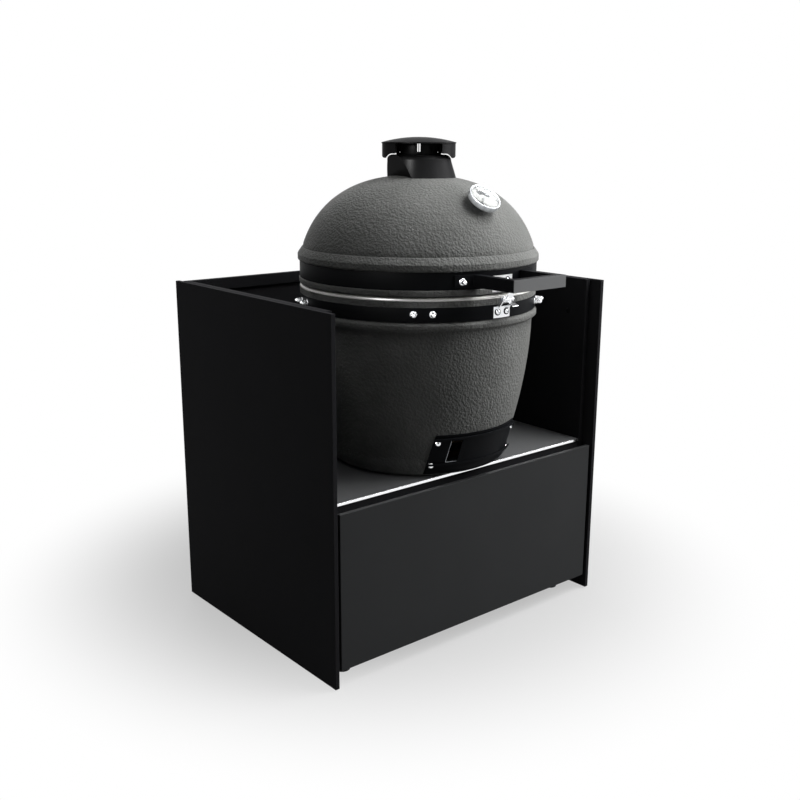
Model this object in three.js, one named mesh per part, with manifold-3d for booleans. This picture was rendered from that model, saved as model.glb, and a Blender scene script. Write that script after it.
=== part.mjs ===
// Kamado grill table: a ceramic kamado grill standing in a black outdoor kitchen module.
// Millimetres, +Z up. The front faces -Y, and the origin is on the floor under the middle
// of the whole, handle included. Places below are counted from the module's own middle.

import * as THREE from 'three';
import { mergeVertices } from 'three/addons/utils/BufferGeometryUtils.js';
import Module from 'manifold-3d';

const wasm = await Module();
wasm.setup();

// Module: driving dimensions
const moduleWidth = 916;
const moduleDepth = 702;
const panelHeight = 900;
const floorGap = 3;
const panelThickness = 12;
const panelEase = 0.8;
const backInset = 16;
const frameSetback = 36;
const frameWallThickness = 16.7;
const carcassFloorHeight = 43;
const seatGap = 0.3;
const cutOverrun = 2;

// Module: top rail behind the kamado
const backRailThickness = 6;
const backRailHeight = 30;

// Module: shelf that carries the kamado
const shelfTopHeight = 448.4;
const shelfThickness = 6;
const trimThickness = 2.5;
const trimEase = 0.5;
const shelfRailDepth = 40;
const shelfRailHeight = 20;
const shelfRailWall = 2;

// Module: levelling feet
const footRadius = 20;
const footPadHeight = 9;
const footConeHeight = 8;
const footStemRadius = 6;
const footInsetX = 78;
const footInsetY = 79;
const footNutRadius = 10;
const footNutHeight = 8;
const footFacets = 14;

// Module: bolts that couple it to the next module
const couplingBoltRadius = 4;
const couplingHoleClearance = 0.5;
const couplingHeight = 806.6;
const couplingFrontInset = 97;
const couplingBackInset = 120;

// Drawer: driving dimensions
const drawerFrontSideGap = 9;
const drawerFrontSetback = 3.7;
const drawerFrontBottom = 40.5;
const drawerFrontTopGap = 2.9;
const drawerBoxDepth = 600;
const drawerBoxHeadroom = 65.4;
const drawerBoxLift = 22;
const drawerSheet = 2;
const drawerRim = 12;
const drawerBottomDrop = 6;
const drawerWellInset = 36;

// Drawer: full-extension runners
const runnerLength = 590;
const runnerHeight = 45;
const runnerDepth = 12.4;
const runnerSheet = 1.2;
const runnerClearance = 0.4;
const runnerLift = 150;
const runnerFrontGap = 4;

// Kamado: driving dimensions; heights are above the shelf
const kamadoSetback = 244;
const shellFacets = 40;
const bowlFootRadius = 228.9;
const bowlTopRadius = 297.5;
const bowlHeight = 373.6;
const bowlFullness = 1.8;
const bowlContactRadius = 212;
const bowlCornerHeight = 48;
const shellWall = 28;
const bowlFloor = 33;
const bowlFloorInset = 11.2;
const bowlCornerShares = [0, 0.04, 0.15, 0.4, 0.7];
const bowlSteps = 6;
const beadRadius = 309;
const beadLowerBottom = 382.2;
const beadLowerTop = 397.6;
const rimRadius = 306;
const rimTop = 461;
const rimShoulder = 7;
const rimEase = 3;
const domeBottom = 463.6;
const domeEdgeEase = 2;
const domeRadius = 314.3;
const domeRise = 308.9;
const domePower = 2.46;
const domeOuterSteps = 11;
const domeInnerSteps = 8;
const domeCentreHeight = 422.4;
const domeInnerRadius = 276;
const beadUpperBottom = 519.9;
const beadUpperTop = 539.1;
const beadUpperRadius = 310.5;
const beadJunction = 555.6;
const flueRadius = 46;

// Kamado: gaskets let into both rims
const gasketInner = 281;
const gasketWidth = 16;
const gasketGroove = 2.5;

// Kamado: steel bands
const bandThickness = 3;
const lowerBandBottom = 403.4;
const lowerBandHeight = 34.7;
const upperBandBottom = 478.2;
const upperBandHeight = 41.4;

// Kamado: handle
const handleReach = 428;
const handleWidth = 174;
const handleBarHeight = 29;
const handleBarDepth = 21;
const handleBottom = 483.8;
const handleEase = 2;
const handleFlangeThickness = 4;
const handleFlangeAngles = [15, 25];

// Kamado: front latch
const latchPlateWidth = 54;
const latchPlateThickness = 3;
const latchPlateLift = 2.1;
const latchPlateHeight = 27;
const latchPivotReach = 16.7;
const latchPivotRise = 18.6;
const latchPinRadius = 3;
const latchPinHeadRadius = 4.5;
const latchPinHeadLength = 2.2;
const latchPinClearance = 0.5;
const latchEarRadius = 6.5;
const latchEarThickness = 3;
const latchEarRoot = 6.5;
const latchEarAngles = [205, 15];
const earSteps = 7;
const latchBarrelRadius = 8;
const latchBarrelLength = 30;
const latchSideClearance = 0.5;
const latchHookWidth = 20;
const latchHookThickness = 3.5;
const latchHookStandoff = 4;
const latchNoseClearance = 1.5;
const latchNoseOverhang = 2;
const latchTabLength = 24;
const latchTabThickness = 3;
const latchReleaseAngle = 25;
const catchPlateWidth = 66;
const catchPlateDrop = 10.2;
const catchPlateHeight = 38.5;
const strikerLift = 5;
const strikerReach = 15.7;
const strikerRadius = 2.8;
const strikerWidth = 28;

// Kamado: rear hinge
const hingeReach = 46;
const hingeHeight = 457;
const hingePinRadius = 6;
const hingePinClearance = 0.5;
const hingePinHeadRadius = 10;
const hingePinHeadLength = 5;
const hingeEarRadius = 13;
const hingeEarThickness = 6;
const hingeEarGap = 0.8;
const hingeLowerEarAngles = [-60, 150];
const hingeUpperEarAngles = [200, 420];
const hingeLowerHalfWidth = 65;
const hingePlateThickness = 5;
const hingePlateMargin = 0.5;
const hingeEarInset = 3;
const springWireRadius = 2;
const springTurns = 5.5;
const springPitch = 5;
const springStart = 14;
const springTailTurns = 0.5;
const springStepsPerTurn = 8;
const springWireSides = 5;
const springCoilClearance = 0.5;

// Kamado: chimney
const chimneyBaseRadius = 95;
const chimneyTopRadius = 82.5;
const chimneyConeTop = 768;
const chimneyShoulder = 16;
const chimneyShoulderSteps = 4;
const chimneyBoreBase = 47;
const chimneyBoreTop = 50;
const chimneyFlatAzimuth = 106.6;
const chimneyFlatBase = 52.7;
const chimneyFlatTop = 67.7;
const chimneyFlatHeights = [721.6, 772.6];
const chimneySeatGap = 0.5;

// Kamado: slotted collar, damper sleeve and rain cap
const collarRadius = 57;
const collarWall = 3;
const collarHeight = 23.5;
const ventSlots = 6;
const ventSlotAngle = 9;
const ventSlotLift = 1.7;
const ventSlotHeight = 20.3;
const sleeveClearance = 0.5;
const sleeveWall = 3;
const capAzimuth = -41;
const capRadius = 94.5;
const capRimHeight = 811.6;
const capRimThickness = 3;
const capCrownRise = 13;
const capCrownThickness = 6;
const crownShares = [1, 0.8, 0.55, 0.28, 0];
const skirtRadius = 93;
const skirtWall = 8;
const skirtBottom = 775.6;
const skirtEase = 6;
const skirtSteps = 2;
const archHalfWidth = 58;
const archShoulderGap = 4;
const archFootAngle = 20;
const archSteps = 3;
const archTopGap = 0.6;
const bridgeWidth = 14;
const bridgeThickness = 3.4;
const spindleRadius = 4;
const spindleNeckRadius = 1.6;
const spindleClearance = 0.5;
const spindleCollarRadius = 7;
const spindleCollarHeight = 5;
const spindleFacets = 12;

// Kamado: thermometer
const gaugeHeight = 666.4;
const gaugeRadius = 41.3;
const gaugeStandoff = 15.7;
const gaugeDepth = 11.7;
const gaugeBezel = 5;
const gaugeEase = 2;
const gaugeBackWall = 2;
const gaugeDialThickness = 1;
const gaugeLensThickness = 1.5;
const gaugeLensRecess = 1.3;
const gaugeNeedleLength = 27;
const gaugeNeedleTail = 8;
const gaugeNeedleWidth = 3.2;
const gaugeNeedleThickness = 0.8;
const gaugeNeedleLift = 1;
const gaugeNeedleAngle = 140;
const gaugeHubRadius = 3.5;
const gaugeHubHeight = 2;
const gaugeStemRadius = 5;
const gaugeStemLength = 50;
const gaugeBossRadius = 11;
const gaugeBossHeight = 11;
const gaugeFlareRadius = 22;
const gaugeProbeRadius = 3;
const gaugeProbeLength = 100;
const gaugeHoleClearance = 1;

// Kamado: draft door at the foot of the bowl; angles are from the front, in degrees
const draftFrameThickness = 3;
const draftFrameHalfAngle = 33.5;
const draftFrameHeights = [8, 116];
const draftWindowHeights = [41.6, 99.6];
const draftWindowAngles = [-21.9, 2];
const draftSliderAngles = [-15.5, 21.9];
const draftSliderThickness = 2.5;
const draftSliderClearance = 1;
const draftSliderOverlap = 4;
const draftRailThickness = 1.5;
const draftRailLip = 2.5;
const draftRailRoot = 4;
const draftCeramicMargin = 3;

// Kamado: fire bowl, grate, fire ring and cooking grid
const innerFacets = 32;
const fireboxFootRadius = 190;
const fireboxTopRadius = 240;
const fireboxHeight = 300;
const fireboxWall = 22;
const fireboxMouthAngles = [-24, 4];
const fireboxMouthHeights = [44, 72];
const grateLedgeTop = 92;
const grateLedgeRadius = 146;
const grateLedgeThickness = 14;
const grateRadius = 168;
const grateThickness = 7;
const grateSlots = 9;
const grateSlotWidth = 14;
const grateSlotPitch = 32;
const grateRimWidth = 14;
const fireRingTop = 448;
const gridRadius = 236;
const gridRimWire = 4;
const gridWire = 2.5;
const gridBars = 17;
const gridWireSides = 6;

// Derived heights and faces of the module
const panelTop = floorGap + panelHeight;
const halfWidth = moduleWidth / 2;
const halfDepth = moduleDepth / 2;
const frameOuterX = halfWidth - panelThickness - seatGap;
const frameInnerX = frameOuterX - frameWallThickness;
const frameFrontY = -halfDepth + frameSetback;
const backPanelOuterY = halfDepth - backInset;
const backPanelInnerY = backPanelOuterY - panelThickness;
const frameBackY = backPanelInnerY - seatGap;
const shelfTop = floorGap + shelfTopHeight;
const shelfUnderside = shelfTop - shelfThickness;
const carcassFloor = floorGap + carcassFloorHeight;
const kamadoY = frameFrontY - frameSetback + kamadoSetback;

// Derived radii of the kamado
const bandSeatRadius = rimRadius - bandThickness - seatGap;
const bandFace = rimRadius + seatGap;
const lowerBandTop = lowerBandBottom + lowerBandHeight;
const upperBandTop = upperBandBottom + upperBandHeight;
const domeInnerRise = domeRise - shellWall;
const chimneyTop = chimneyConeTop + chimneyShoulder;

// Helpers: angles and shapes
const degrees = (angle) => THREE.MathUtils.degToRad(angle);
const axisX = new THREE.Vector3(1, 0, 0);
const axisY = new THREE.Vector3(0, 1, 0);
const axisZ = new THREE.Vector3(0, 0, 1);

// Turns a prism that is drawn along Z so that it runs along the named axis,
// with its outline's second coordinate pointing up.
const layAlong = {
  x: new THREE.Matrix4().makeBasis(axisY, axisZ, axisX),
  y: new THREE.Matrix4().makeBasis(axisX, axisZ, axisY.clone().negate()),
  z: new THREE.Matrix4(),
};

// Makes a solid of a closed geometry, without the seam's doubled points.
function solid(geometry) {
  const bare = geometry.clone();
  bare.deleteAttribute('normal');
  bare.deleteAttribute('uv');
  const merged = mergeVertices(bare);
  const corners = merged.index.array;
  const triangles = [];
  for (let i = 0; i < corners.length; i += 3) {
    const [a, b, c] = [corners[i], corners[i + 1], corners[i + 2]];
    if (a !== b && b !== c && c !== a) triangles.push(a, b, c);
  }
  const places = new Float32Array(merged.attributes.position.array);
  if (signedVolume(places, triangles) < 0) triangles.reverse();
  const mesh = new wasm.Mesh({
    numProp: 3,
    vertProperties: places,
    triVerts: new Uint32Array(triangles),
  });
  return new wasm.Manifold(mesh);
}

// Six times the volume that the triangles enclose, negative where they face inwards.
function signedVolume(places, triangles) {
  const corner = (i) => new THREE.Vector3().fromArray(places, triangles[i] * 3);
  let sum = 0;
  for (let i = 0; i < triangles.length; i += 3) {
    sum += corner(i).dot(corner(i + 1).cross(corner(i + 2)));
  }
  return sum;
}

function geometryOf(shape) {
  const mesh = shape.getMesh();
  const geometry = new THREE.BufferGeometry();
  geometry.setAttribute('position', new THREE.BufferAttribute(mesh.vertProperties, 3));
  geometry.setIndex(new THREE.BufferAttribute(mesh.triVerts, 1));
  geometry.computeVertexNormals();
  return geometry;
}

function moved(shape, matrix) {
  const geometry = geometryOf(shape);
  geometry.applyMatrix4(matrix);
  return solid(geometry);
}

const shifted = (shape, x, y, z) => moved(shape, new THREE.Matrix4().makeTranslation(x, y, z));
const mirroredX = (shape) => moved(shape, new THREE.Matrix4().makeScale(-1, 1, 1));
const joined = (shapes) => shapes.reduce((whole, shape) => whole.add(shape));
const cut = (shape, tools) => tools.reduce((left, tool) => left.subtract(tool), shape);

function outlineOf(points) {
  return new THREE.Shape(points.map(([x, y]) => new THREE.Vector2(x, y)));
}

// A straight bar of any outline, centred on its length; an eased one has bevelled ends.
function prism(outline, length, axis, ease = 0) {
  const options = { depth: length - 2 * ease, bevelEnabled: ease > 0, curveSegments: 6 };
  options.bevelThickness = ease;
  options.bevelSize = ease;
  options.bevelOffset = -ease;
  options.bevelSegments = 1;
  const geometry = new THREE.ExtrudeGeometry(outline, options);
  geometry.translate(0, 0, ease - length / 2);
  geometry.applyMatrix4(layAlong[axis]);
  return solid(geometry);
}

// A block given by its low and high corners, with eased faces if asked.
function block(low, high, axis = 'z', ease = 0) {
  const size = high.map((value, i) => value - low[i]);
  const middle = high.map((value, i) => (value + low[i]) / 2);
  const spans = { x: [size[1], size[2], size[0]], y: [size[0], size[2], size[1]], z: size };
  const [wide, tall, long] = spans[axis];
  const corners = [[-wide, -tall], [wide, -tall], [wide, tall], [-wide, tall]];
  const outline = outlineOf(corners.map(([x, y]) => [x / 2, y / 2]));
  return shifted(prism(outline, long, axis, ease), ...middle);
}

// A solid of revolution about Z; the profile's points are [radius, height].
function revolved(profile, facets = shellFacets) {
  const points = profile.map(([radius, height]) => new THREE.Vector2(radius, height));
  const onAxis = points[0].x === 0 && points[points.length - 1].x === 0;
  if (!onAxis) points.push(points[0].clone());
  const geometry = new THREE.LatheGeometry(points, facets);
  geometry.rotateX(Math.PI / 2);
  return solid(geometry);
}

function ring(outer, inner, low, high, facets = shellFacets) {
  return revolved([[inner, low], [outer, low], [outer, high], [inner, high]], facets);
}

function rod(radius, length, axis, sides = 12) {
  return prism(new THREE.Shape(roundPoints(radius, sides)), length, axis);
}

function roundPoints(radius, sides, turn = 0) {
  const points = [];
  for (let i = 0; i < sides; i++) {
    const angle = turn + (i / sides) * 2 * Math.PI;
    points.push(new THREE.Vector2(radius * Math.cos(angle), radius * Math.sin(angle)));
  }
  return points;
}

// The direction at an angle from the front, counted towards +X.
function outward(azimuth) {
  return new THREE.Vector3(Math.sin(degrees(azimuth)), -Math.cos(degrees(azimuth)), 0);
}

// A wedge of the space about Z between two angles, wide enough to cut a shell.
function wedge(from, to, low, high, reach) {
  const steps = 6;
  const points = [[0, 0]];
  for (let i = 0; i <= steps; i++) {
    const out = outward(from + ((to - from) * i) / steps).multiplyScalar(reach);
    points.push([out.x, out.y]);
  }
  return shifted(prism(outlineOf(points), high - low, 'z'), 0, 0, (low + high) / 2);
}

// Points of a circular arc in a profile, between two angles in degrees.
function arc(centreX, centreY, radius, from, to, steps) {
  const points = [];
  for (let i = 0; i <= steps; i++) {
    const angle = degrees(from + ((to - from) * i) / steps);
    points.push([centreX + radius * Math.cos(angle), centreY + radius * Math.sin(angle)]);
  }
  return points;
}

// Materials
const finishes = {
  panel: { color: 0x17181a, roughness: 0.55, metalness: 0.1 },
  drawer: { color: 0x26282a, roughness: 0.5, metalness: 0.1 },
  frame: { color: 0x141516, roughness: 0.6, metalness: 0.3 },
  shelf: { color: 0x3c3e40, roughness: 0.5, metalness: 0.2 },
  trim: { color: 0xe2e3e4, roughness: 0.25, metalness: 1 },
  drawerSteel: { color: 0x3a3c3e, roughness: 0.5, metalness: 0.6 },
  runner: { color: 0x9a9da0, roughness: 0.35, metalness: 1 },
  foot: { color: 0x101112, roughness: 0.7, metalness: 0 },
  ceramic: { color: 0x4c4f50, roughness: 0.5, metalness: 0 },
  band: { color: 0x0f1011, roughness: 0.45, metalness: 0.4 },
  chrome: { color: 0xd4d6d8, roughness: 0.15, metalness: 1 },
  casting: { color: 0x121314, roughness: 0.5, metalness: 0.4 },
  felt: { color: 0x8a8c8a, roughness: 0.95, metalness: 0 },
  fireclay: { color: 0xb49a78, roughness: 0.9, metalness: 0 },
  iron: { color: 0x1d1d1e, roughness: 0.7, metalness: 0.7 },
  stainless: { color: 0xbfc1c3, roughness: 0.3, metalness: 1 },
  dial: { color: 0xf2f2ef, roughness: 0.5, metalness: 0 },
  needle: { color: 0xb02018, roughness: 0.5, metalness: 0 },
  glass: { color: 0xf4f8f8, roughness: 0.05, metalness: 0 },
};

const table = new THREE.Group();
const kamado = new THREE.Group();
kamado.position.set(0, kamadoY, shelfTop);
table.add(kamado);

function addPiece(group, name, shape, finish) {
  const material = new THREE.MeshStandardMaterial(finishes[finish]);
  if (finish === 'glass') {
    material.transparent = true;
    material.opacity = 0.3;
  }
  const mesh = new THREE.Mesh(geometryOf(shape), material);
  mesh.name = name;
  group.add(mesh);
  return mesh;
}

// Adds a piece and its twin on the other side, named left and right; left is -X.
function addPair(group, name, rightShape, finish) {
  addPiece(group, `${name}_right`, rightShape, finish);
  addPiece(group, `${name}_left`, mirroredX(rightShape), finish);
}

// Module: outer panels, easing on every edge
function sidePanel() {
  const low = [halfWidth - panelThickness, -halfDepth, floorGap];
  return block(low, [halfWidth, halfDepth, panelTop], 'x', panelEase);
}

function backPanel() {
  const low = [-frameOuterX, backPanelInnerY, floorGap + drawerFrontBottom];
  return block(low, [frameOuterX, backPanelOuterY, panelTop], 'y', panelEase);
}

function couplingPlaces() {
  return [frameFrontY - frameSetback + couplingFrontInset, frameBackY - couplingBackInset];
}

// Module: frame wall with the holes of the coupling bolts
function frameWall() {
  const low = [frameInnerX, frameFrontY, carcassFloor];
  const wall = block(low, [frameOuterX, frameBackY, panelTop], 'x', panelEase);
  const holeRadius = couplingBoltRadius + couplingHoleClearance;
  const holeLength = frameWallThickness + 2 * cutOverrun;
  const hole = rod(holeRadius, holeLength, 'x');
  const middleX = (frameInnerX + frameOuterX) / 2;
  const height = floorGap + couplingHeight;
  return cut(wall, couplingPlaces().map((y) => shifted(hole, middleX, y, height)));
}

function bottomPanel() {
  const halfSpan = frameInnerX - seatGap;
  const low = [-halfSpan, frameFrontY, carcassFloor];
  const high = [halfSpan, frameBackY, carcassFloor + panelThickness];
  const panel = block(low, high, 'z', panelEase);
  const holeRadius = footStemRadius + couplingHoleClearance;
  const hole = rod(holeRadius, panelThickness + 2 * cutOverrun, 'z');
  const middle = carcassFloor + panelThickness / 2;
  return cut(panel, footPlaces().map(([, x, y]) => shifted(hole, x, y, middle)));
}

function backRail() {
  const halfSpan = frameInnerX - seatGap;
  const low = [-halfSpan, frameBackY - backRailThickness, panelTop - backRailHeight];
  return block(low, [halfSpan, frameBackY, panelTop], 'x');
}

// Module: shelf with its bright edge trim and the hollow rails under it
function kamadoShelf() {
  const halfSpan = frameInnerX - seatGap;
  const front = frameFrontY + trimThickness + seatGap;
  const low = [-halfSpan, front, shelfUnderside];
  return block(low, [halfSpan, frameBackY, shelfTop], 'z');
}

function shelfEdgeTrim() {
  const halfSpan = frameInnerX - seatGap;
  const low = [-halfSpan, frameFrontY, shelfUnderside];
  const high = [halfSpan, frameFrontY + trimThickness, shelfTop];
  return block(low, high, 'x', trimEase);
}

function shelfRail() {
  const outer = outlineOf(rectangle(shelfRailDepth, shelfRailHeight));
  const inner = rectangle(shelfRailDepth - 2 * shelfRailWall, shelfRailHeight - 2 * shelfRailWall);
  outer.holes.push(outlineOf(inner));
  return prism(outer, 2 * (frameInnerX - seatGap), 'x');
}

function rectangle(wide, tall) {
  const [x, y] = [wide / 2, tall / 2];
  return [[-x, -y], [x, -y], [x, y], [-x, y]];
}

function addShelfRails(group) {
  const height = shelfUnderside - seatGap - shelfRailHeight / 2;
  const first = frameFrontY + trimThickness + shelfRailDepth / 2;
  const last = frameBackY - shelfRailDepth / 2;
  const step = (last - first) / 2;
  ['front', 'middle', 'rear'].forEach((place, i) => {
    const rail = addPiece(group, `shelf_rail_${place}`, shelfRail(), 'frame');
    rail.position.set(0, first + step * i, height);
  });
}

// Module: levelling foot, a pad, a cone, a threaded stem and its hexagon
function footPlaces() {
  const x = halfWidth - footInsetX;
  const y = halfDepth - footInsetY;
  return [['front_left', -x, -y], ['front_right', x, -y], ['rear_left', -x, y], ['rear_right', x, y]];
}

function levellingFoot() {
  const stemTop = carcassFloor + panelThickness;
  const cone = footPadHeight + footConeHeight;
  const body = revolved([
    [0, 0], [footRadius - panelEase, 0], [footRadius, panelEase], [footRadius, footPadHeight],
    [footNutRadius, cone], [footStemRadius, cone], [footStemRadius, stemTop], [0, stemTop],
  ], footFacets);
  const nut = prism(new THREE.Shape(roundPoints(footNutRadius, 6)), footNutHeight, 'z');
  return body.add(shifted(nut, 0, 0, cone + footNutHeight / 2));
}

function addModule(group) {
  addPair(group, 'side_panel', sidePanel(), 'panel');
  addPair(group, 'frame_wall', frameWall(), 'frame');
  addPiece(group, 'back_panel', backPanel(), 'panel');
  addPiece(group, 'back_rail', backRail(), 'frame');
  addPiece(group, 'bottom_panel', bottomPanel(), 'frame');
  addPiece(group, 'kamado_shelf', kamadoShelf(), 'shelf');
  addPiece(group, 'shelf_edge_trim', shelfEdgeTrim(), 'trim');
  addShelfRails(group);
  for (const [corner, x, y] of footPlaces()) {
    addPiece(group, `foot_${corner}`, levellingFoot(), 'foot').position.set(x, y, 0);
  }
}

// Drawer: the deep front and the folded steel box behind it
const drawerFrontY = -halfDepth + drawerFrontSetback;
const drawerBackOfFront = drawerFrontY + panelThickness;
const drawerBoxFrontY = drawerBackOfFront + seatGap;
const drawerBoxBackY = drawerBoxFrontY + drawerBoxDepth;
const drawerBoxHalf = frameInnerX - seatGap - runnerDepth - seatGap;
const drawerBoxBottom = carcassFloor + panelThickness + drawerBoxLift;
const drawerBoxTop = shelfUnderside - drawerBoxHeadroom;

function drawerFront() {
  const halfSpan = halfWidth - panelThickness - drawerFrontSideGap;
  const low = [-halfSpan, drawerFrontY, floorGap + drawerFrontBottom];
  const high = [halfSpan, drawerBackOfFront, shelfUnderside - drawerFrontTopGap];
  return block(low, high, 'y', panelEase);
}

// A drawer side: a steel channel whose rim and foot are folded inwards
function drawerSide() {
  const x = drawerBoxHalf;
  const inner = x - drawerRim;
  const wall = x - drawerSheet;
  const profile = outlineOf([
    [x, drawerBoxBottom], [x, drawerBoxTop], [inner, drawerBoxTop],
    [inner, drawerBoxTop - drawerRim], [inner + drawerSheet, drawerBoxTop - drawerRim],
    [inner + drawerSheet, drawerBoxTop - drawerSheet], [wall, drawerBoxTop - drawerSheet],
    [wall, drawerBoxBottom + drawerSheet], [inner, drawerBoxBottom + drawerSheet],
    [inner, drawerBoxBottom],
  ]);
  const middle = (drawerBoxFrontY + drawerBoxBackY) / 2;
  return shifted(prism(profile, drawerBoxDepth, 'y'), 0, middle, 0);
}

const drawerInnerHalf = drawerBoxHalf - drawerRim - seatGap;

function drawerBack() {
  const floorTop = drawerBoxBottom + drawerSheet + seatGap + drawerSheet;
  const low = [-drawerInnerHalf, drawerBoxBackY - drawerSheet, floorTop + seatGap];
  const wall = block(low, [drawerInnerHalf, drawerBoxBackY, drawerBoxTop], 'x');
  const lipLow = [-drawerInnerHalf, drawerBoxBackY - drawerRim, drawerBoxTop - drawerSheet];
  return wall.add(block(lipLow, [drawerInnerHalf, drawerBoxBackY, drawerBoxTop], 'x'));
}

// The drawer's floor lies on the folded feet of the sides, with a pressed centre
function drawerBottom() {
  const low = drawerBoxBottom + drawerSheet + seatGap;
  const halfSpan = drawerBoxHalf - drawerSheet - seatGap;
  const sheet = [[-halfSpan, drawerBoxFrontY, low], [halfSpan, drawerBoxBackY, low + drawerSheet]];
  const plate = block(...sheet, 'z');
  const wellX = drawerInnerHalf - drawerWellInset;
  const wellFront = drawerBoxFrontY + drawerWellInset;
  const wellBack = drawerBoxBackY - drawerWellInset;
  const well = [
    [-wellX, wellFront, low - drawerBottomDrop], [wellX, wellBack, low + drawerSheet],
  ];
  const hollow = [
    [well[0][0] + drawerSheet, well[0][1] + drawerSheet, low - drawerBottomDrop + drawerSheet],
    [well[1][0] - drawerSheet, well[1][1] - drawerSheet, low + drawerSheet + cutOverrun],
  ];
  return cut(plate.add(block(...well, 'z')), [block(...hollow, 'z')]);
}

// Drawer: three nested channels of each runner, from the cabinet to the drawer
function channel(webX, depth, height, facing) {
  const [x0, x1] = [webX, webX - facing * depth];
  const web = x0 - facing * runnerSheet;
  const half = height / 2;
  return outlineOf([
    [x0, -half], [x0, half], [x1, half], [x1, half - runnerSheet], [web, half - runnerSheet],
    [web, -half + runnerSheet], [x1, -half + runnerSheet], [x1, -half],
  ]);
}

const runnerHeightZ = carcassFloor + panelThickness + runnerLift;
const runnerMiddleY = frameFrontY + runnerFrontGap + runnerLength / 2;
const runnerNest = 2 * (runnerSheet + runnerClearance);

function runnerMember(outline) {
  return shifted(prism(outline, runnerLength, 'y'), 0, runnerMiddleY, runnerHeightZ);
}

function runnerOuter() {
  const wall = frameInnerX - seatGap;
  return runnerMember(channel(wall, runnerDepth - runnerClearance, runnerHeight, 1));
}

function runnerMiddle() {
  const web = frameInnerX - seatGap - runnerSheet - runnerClearance;
  const depth = runnerDepth - runnerSheet - 2 * runnerClearance;
  return runnerMember(channel(web, depth, runnerHeight - runnerNest, 1));
}

function runnerInner() {
  const web = drawerBoxHalf + seatGap;
  const depth = runnerDepth - 2 * (runnerSheet + runnerClearance) - seatGap;
  return runnerMember(channel(web, depth, runnerHeight - 2 * runnerNest, -1));
}

function addDrawer(group) {
  addPiece(group, 'drawer_front', drawerFront(), 'drawer');
  addPair(group, 'drawer_side', drawerSide(), 'drawerSteel');
  addPiece(group, 'drawer_back', drawerBack(), 'drawerSteel');
  addPiece(group, 'drawer_bottom', drawerBottom(), 'drawerSteel');
  addPair(group, 'runner_outer', runnerOuter(), 'runner');
  addPair(group, 'runner_middle', runnerMiddle(), 'runner');
  addPair(group, 'runner_inner', runnerInner(), 'runner');
}

// Kamado: outer radius of the bowl at a height above the shelf
function bowlRadiusAt(height) {
  const share = Math.min(height / bowlHeight, 1);
  const swell = 1 - (1 - share) ** bowlFullness;
  const radius = bowlFootRadius + (bowlTopRadius - bowlFootRadius) * swell;
  if (height >= bowlCornerHeight) return radius;
  const cornerRadius = bowlRadiusAt(bowlCornerHeight);
  const rise = 1 - height / bowlCornerHeight;
  return bowlContactRadius + (cornerRadius - bowlContactRadius) * Math.sqrt(1 - rise * rise);
}

// Heights at which the bowl's outline has a point, closer together round the foot
function bowlHeights(from, to) {
  const corner = bowlCornerShares.map((share) => share * bowlCornerHeight);
  const upper = [];
  for (let i = 0; i <= bowlSteps; i++) {
    upper.push(bowlCornerHeight + ((bowlHeight - bowlCornerHeight) * i) / bowlSteps);
  }
  const inside = [...corner, ...upper].filter((height) => height > from && height < to);
  return [from, ...inside, to];
}

// Kamado: radius of the dome at a height, outside or inside
function domeRadiusAt(height, radius, rise) {
  const share = (height - domeCentreHeight) / rise;
  return radius * (1 - share ** domePower) ** (1 / domePower);
}

function domeHeightAt(atRadius, radius, rise) {
  const share = atRadius / radius;
  return domeCentreHeight + rise * (1 - share ** domePower) ** (1 / domePower);
}

// Points up the dome's curve, evenly spread along its turn
function domeCurve(fromHeight, toRadius, radius, rise, steps) {
  const start = Math.asin(((fromHeight - domeCentreHeight) / rise) ** (domePower / 2));
  const end = Math.acos((toRadius / radius) ** (domePower / 2));
  const points = [];
  for (let i = 0; i <= steps; i++) {
    const turn = start + ((end - start) * i) / steps;
    const across = Math.cos(turn) ** (2 / domePower);
    const up = Math.sin(turn) ** (2 / domePower);
    points.push([radius * across, domeCentreHeight + rise * up]);
  }
  return points;
}

function kamadoBase() {
  const outside = bowlHeights(0, bowlHeight).map((height) => [bowlRadiusAt(height), height]);
  const inside = bowlHeights(bowlFloor, bowlHeight)
    .map((height) => [bowlRadiusAt(height) - shellWall, height]);
  inside[0][0] -= bowlFloorInset;
  const innerRim = bowlTopRadius - shellWall;
  const grooveFloor = rimTop - gasketGroove;
  const profile = [
    [0, 0], ...outside,
    [beadRadius - 2 * rimEase, beadLowerBottom], [beadRadius, beadLowerBottom + rimEase],
    [beadRadius, beadLowerTop - rimEase], [bandSeatRadius, lowerBandBottom - seatGap],
    [bandSeatRadius, lowerBandTop + seatGap], [rimRadius, lowerBandTop + seatGap],
    [rimRadius, rimTop - rimShoulder], [rimRadius - rimEase, rimTop],
    [gasketInner + gasketWidth, rimTop], [gasketInner + gasketWidth, grooveFloor],
    [gasketInner, grooveFloor], [gasketInner, rimTop], [innerRim, rimTop],
    ...inside.reverse(), [0, bowlFloor],
  ];
  const opening = wedge(
    draftWindowAngles[0] - marginAngle(), draftWindowAngles[1] + marginAngle(),
    draftWindowHeights[0] - draftCeramicMargin, draftWindowHeights[1] + draftCeramicMargin,
    beadRadius,
  );
  return cut(revolved(profile), [opening]);
}

// The angle that the ceramic's opening is wider by than the frame's window, each side
function marginAngle() {
  return THREE.MathUtils.radToDeg(draftCeramicMargin / bowlRadiusAt(draftWindowHeights[1]));
}

function gasket(low, high) {
  const [inner, outer] = [gasketInner + seatGap, gasketInner + gasketWidth - seatGap];
  return ring(outer, inner, low, high);
}

function band(low, height) {
  return ring(rimRadius, rimRadius - bandThickness, low, low + height);
}

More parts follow.
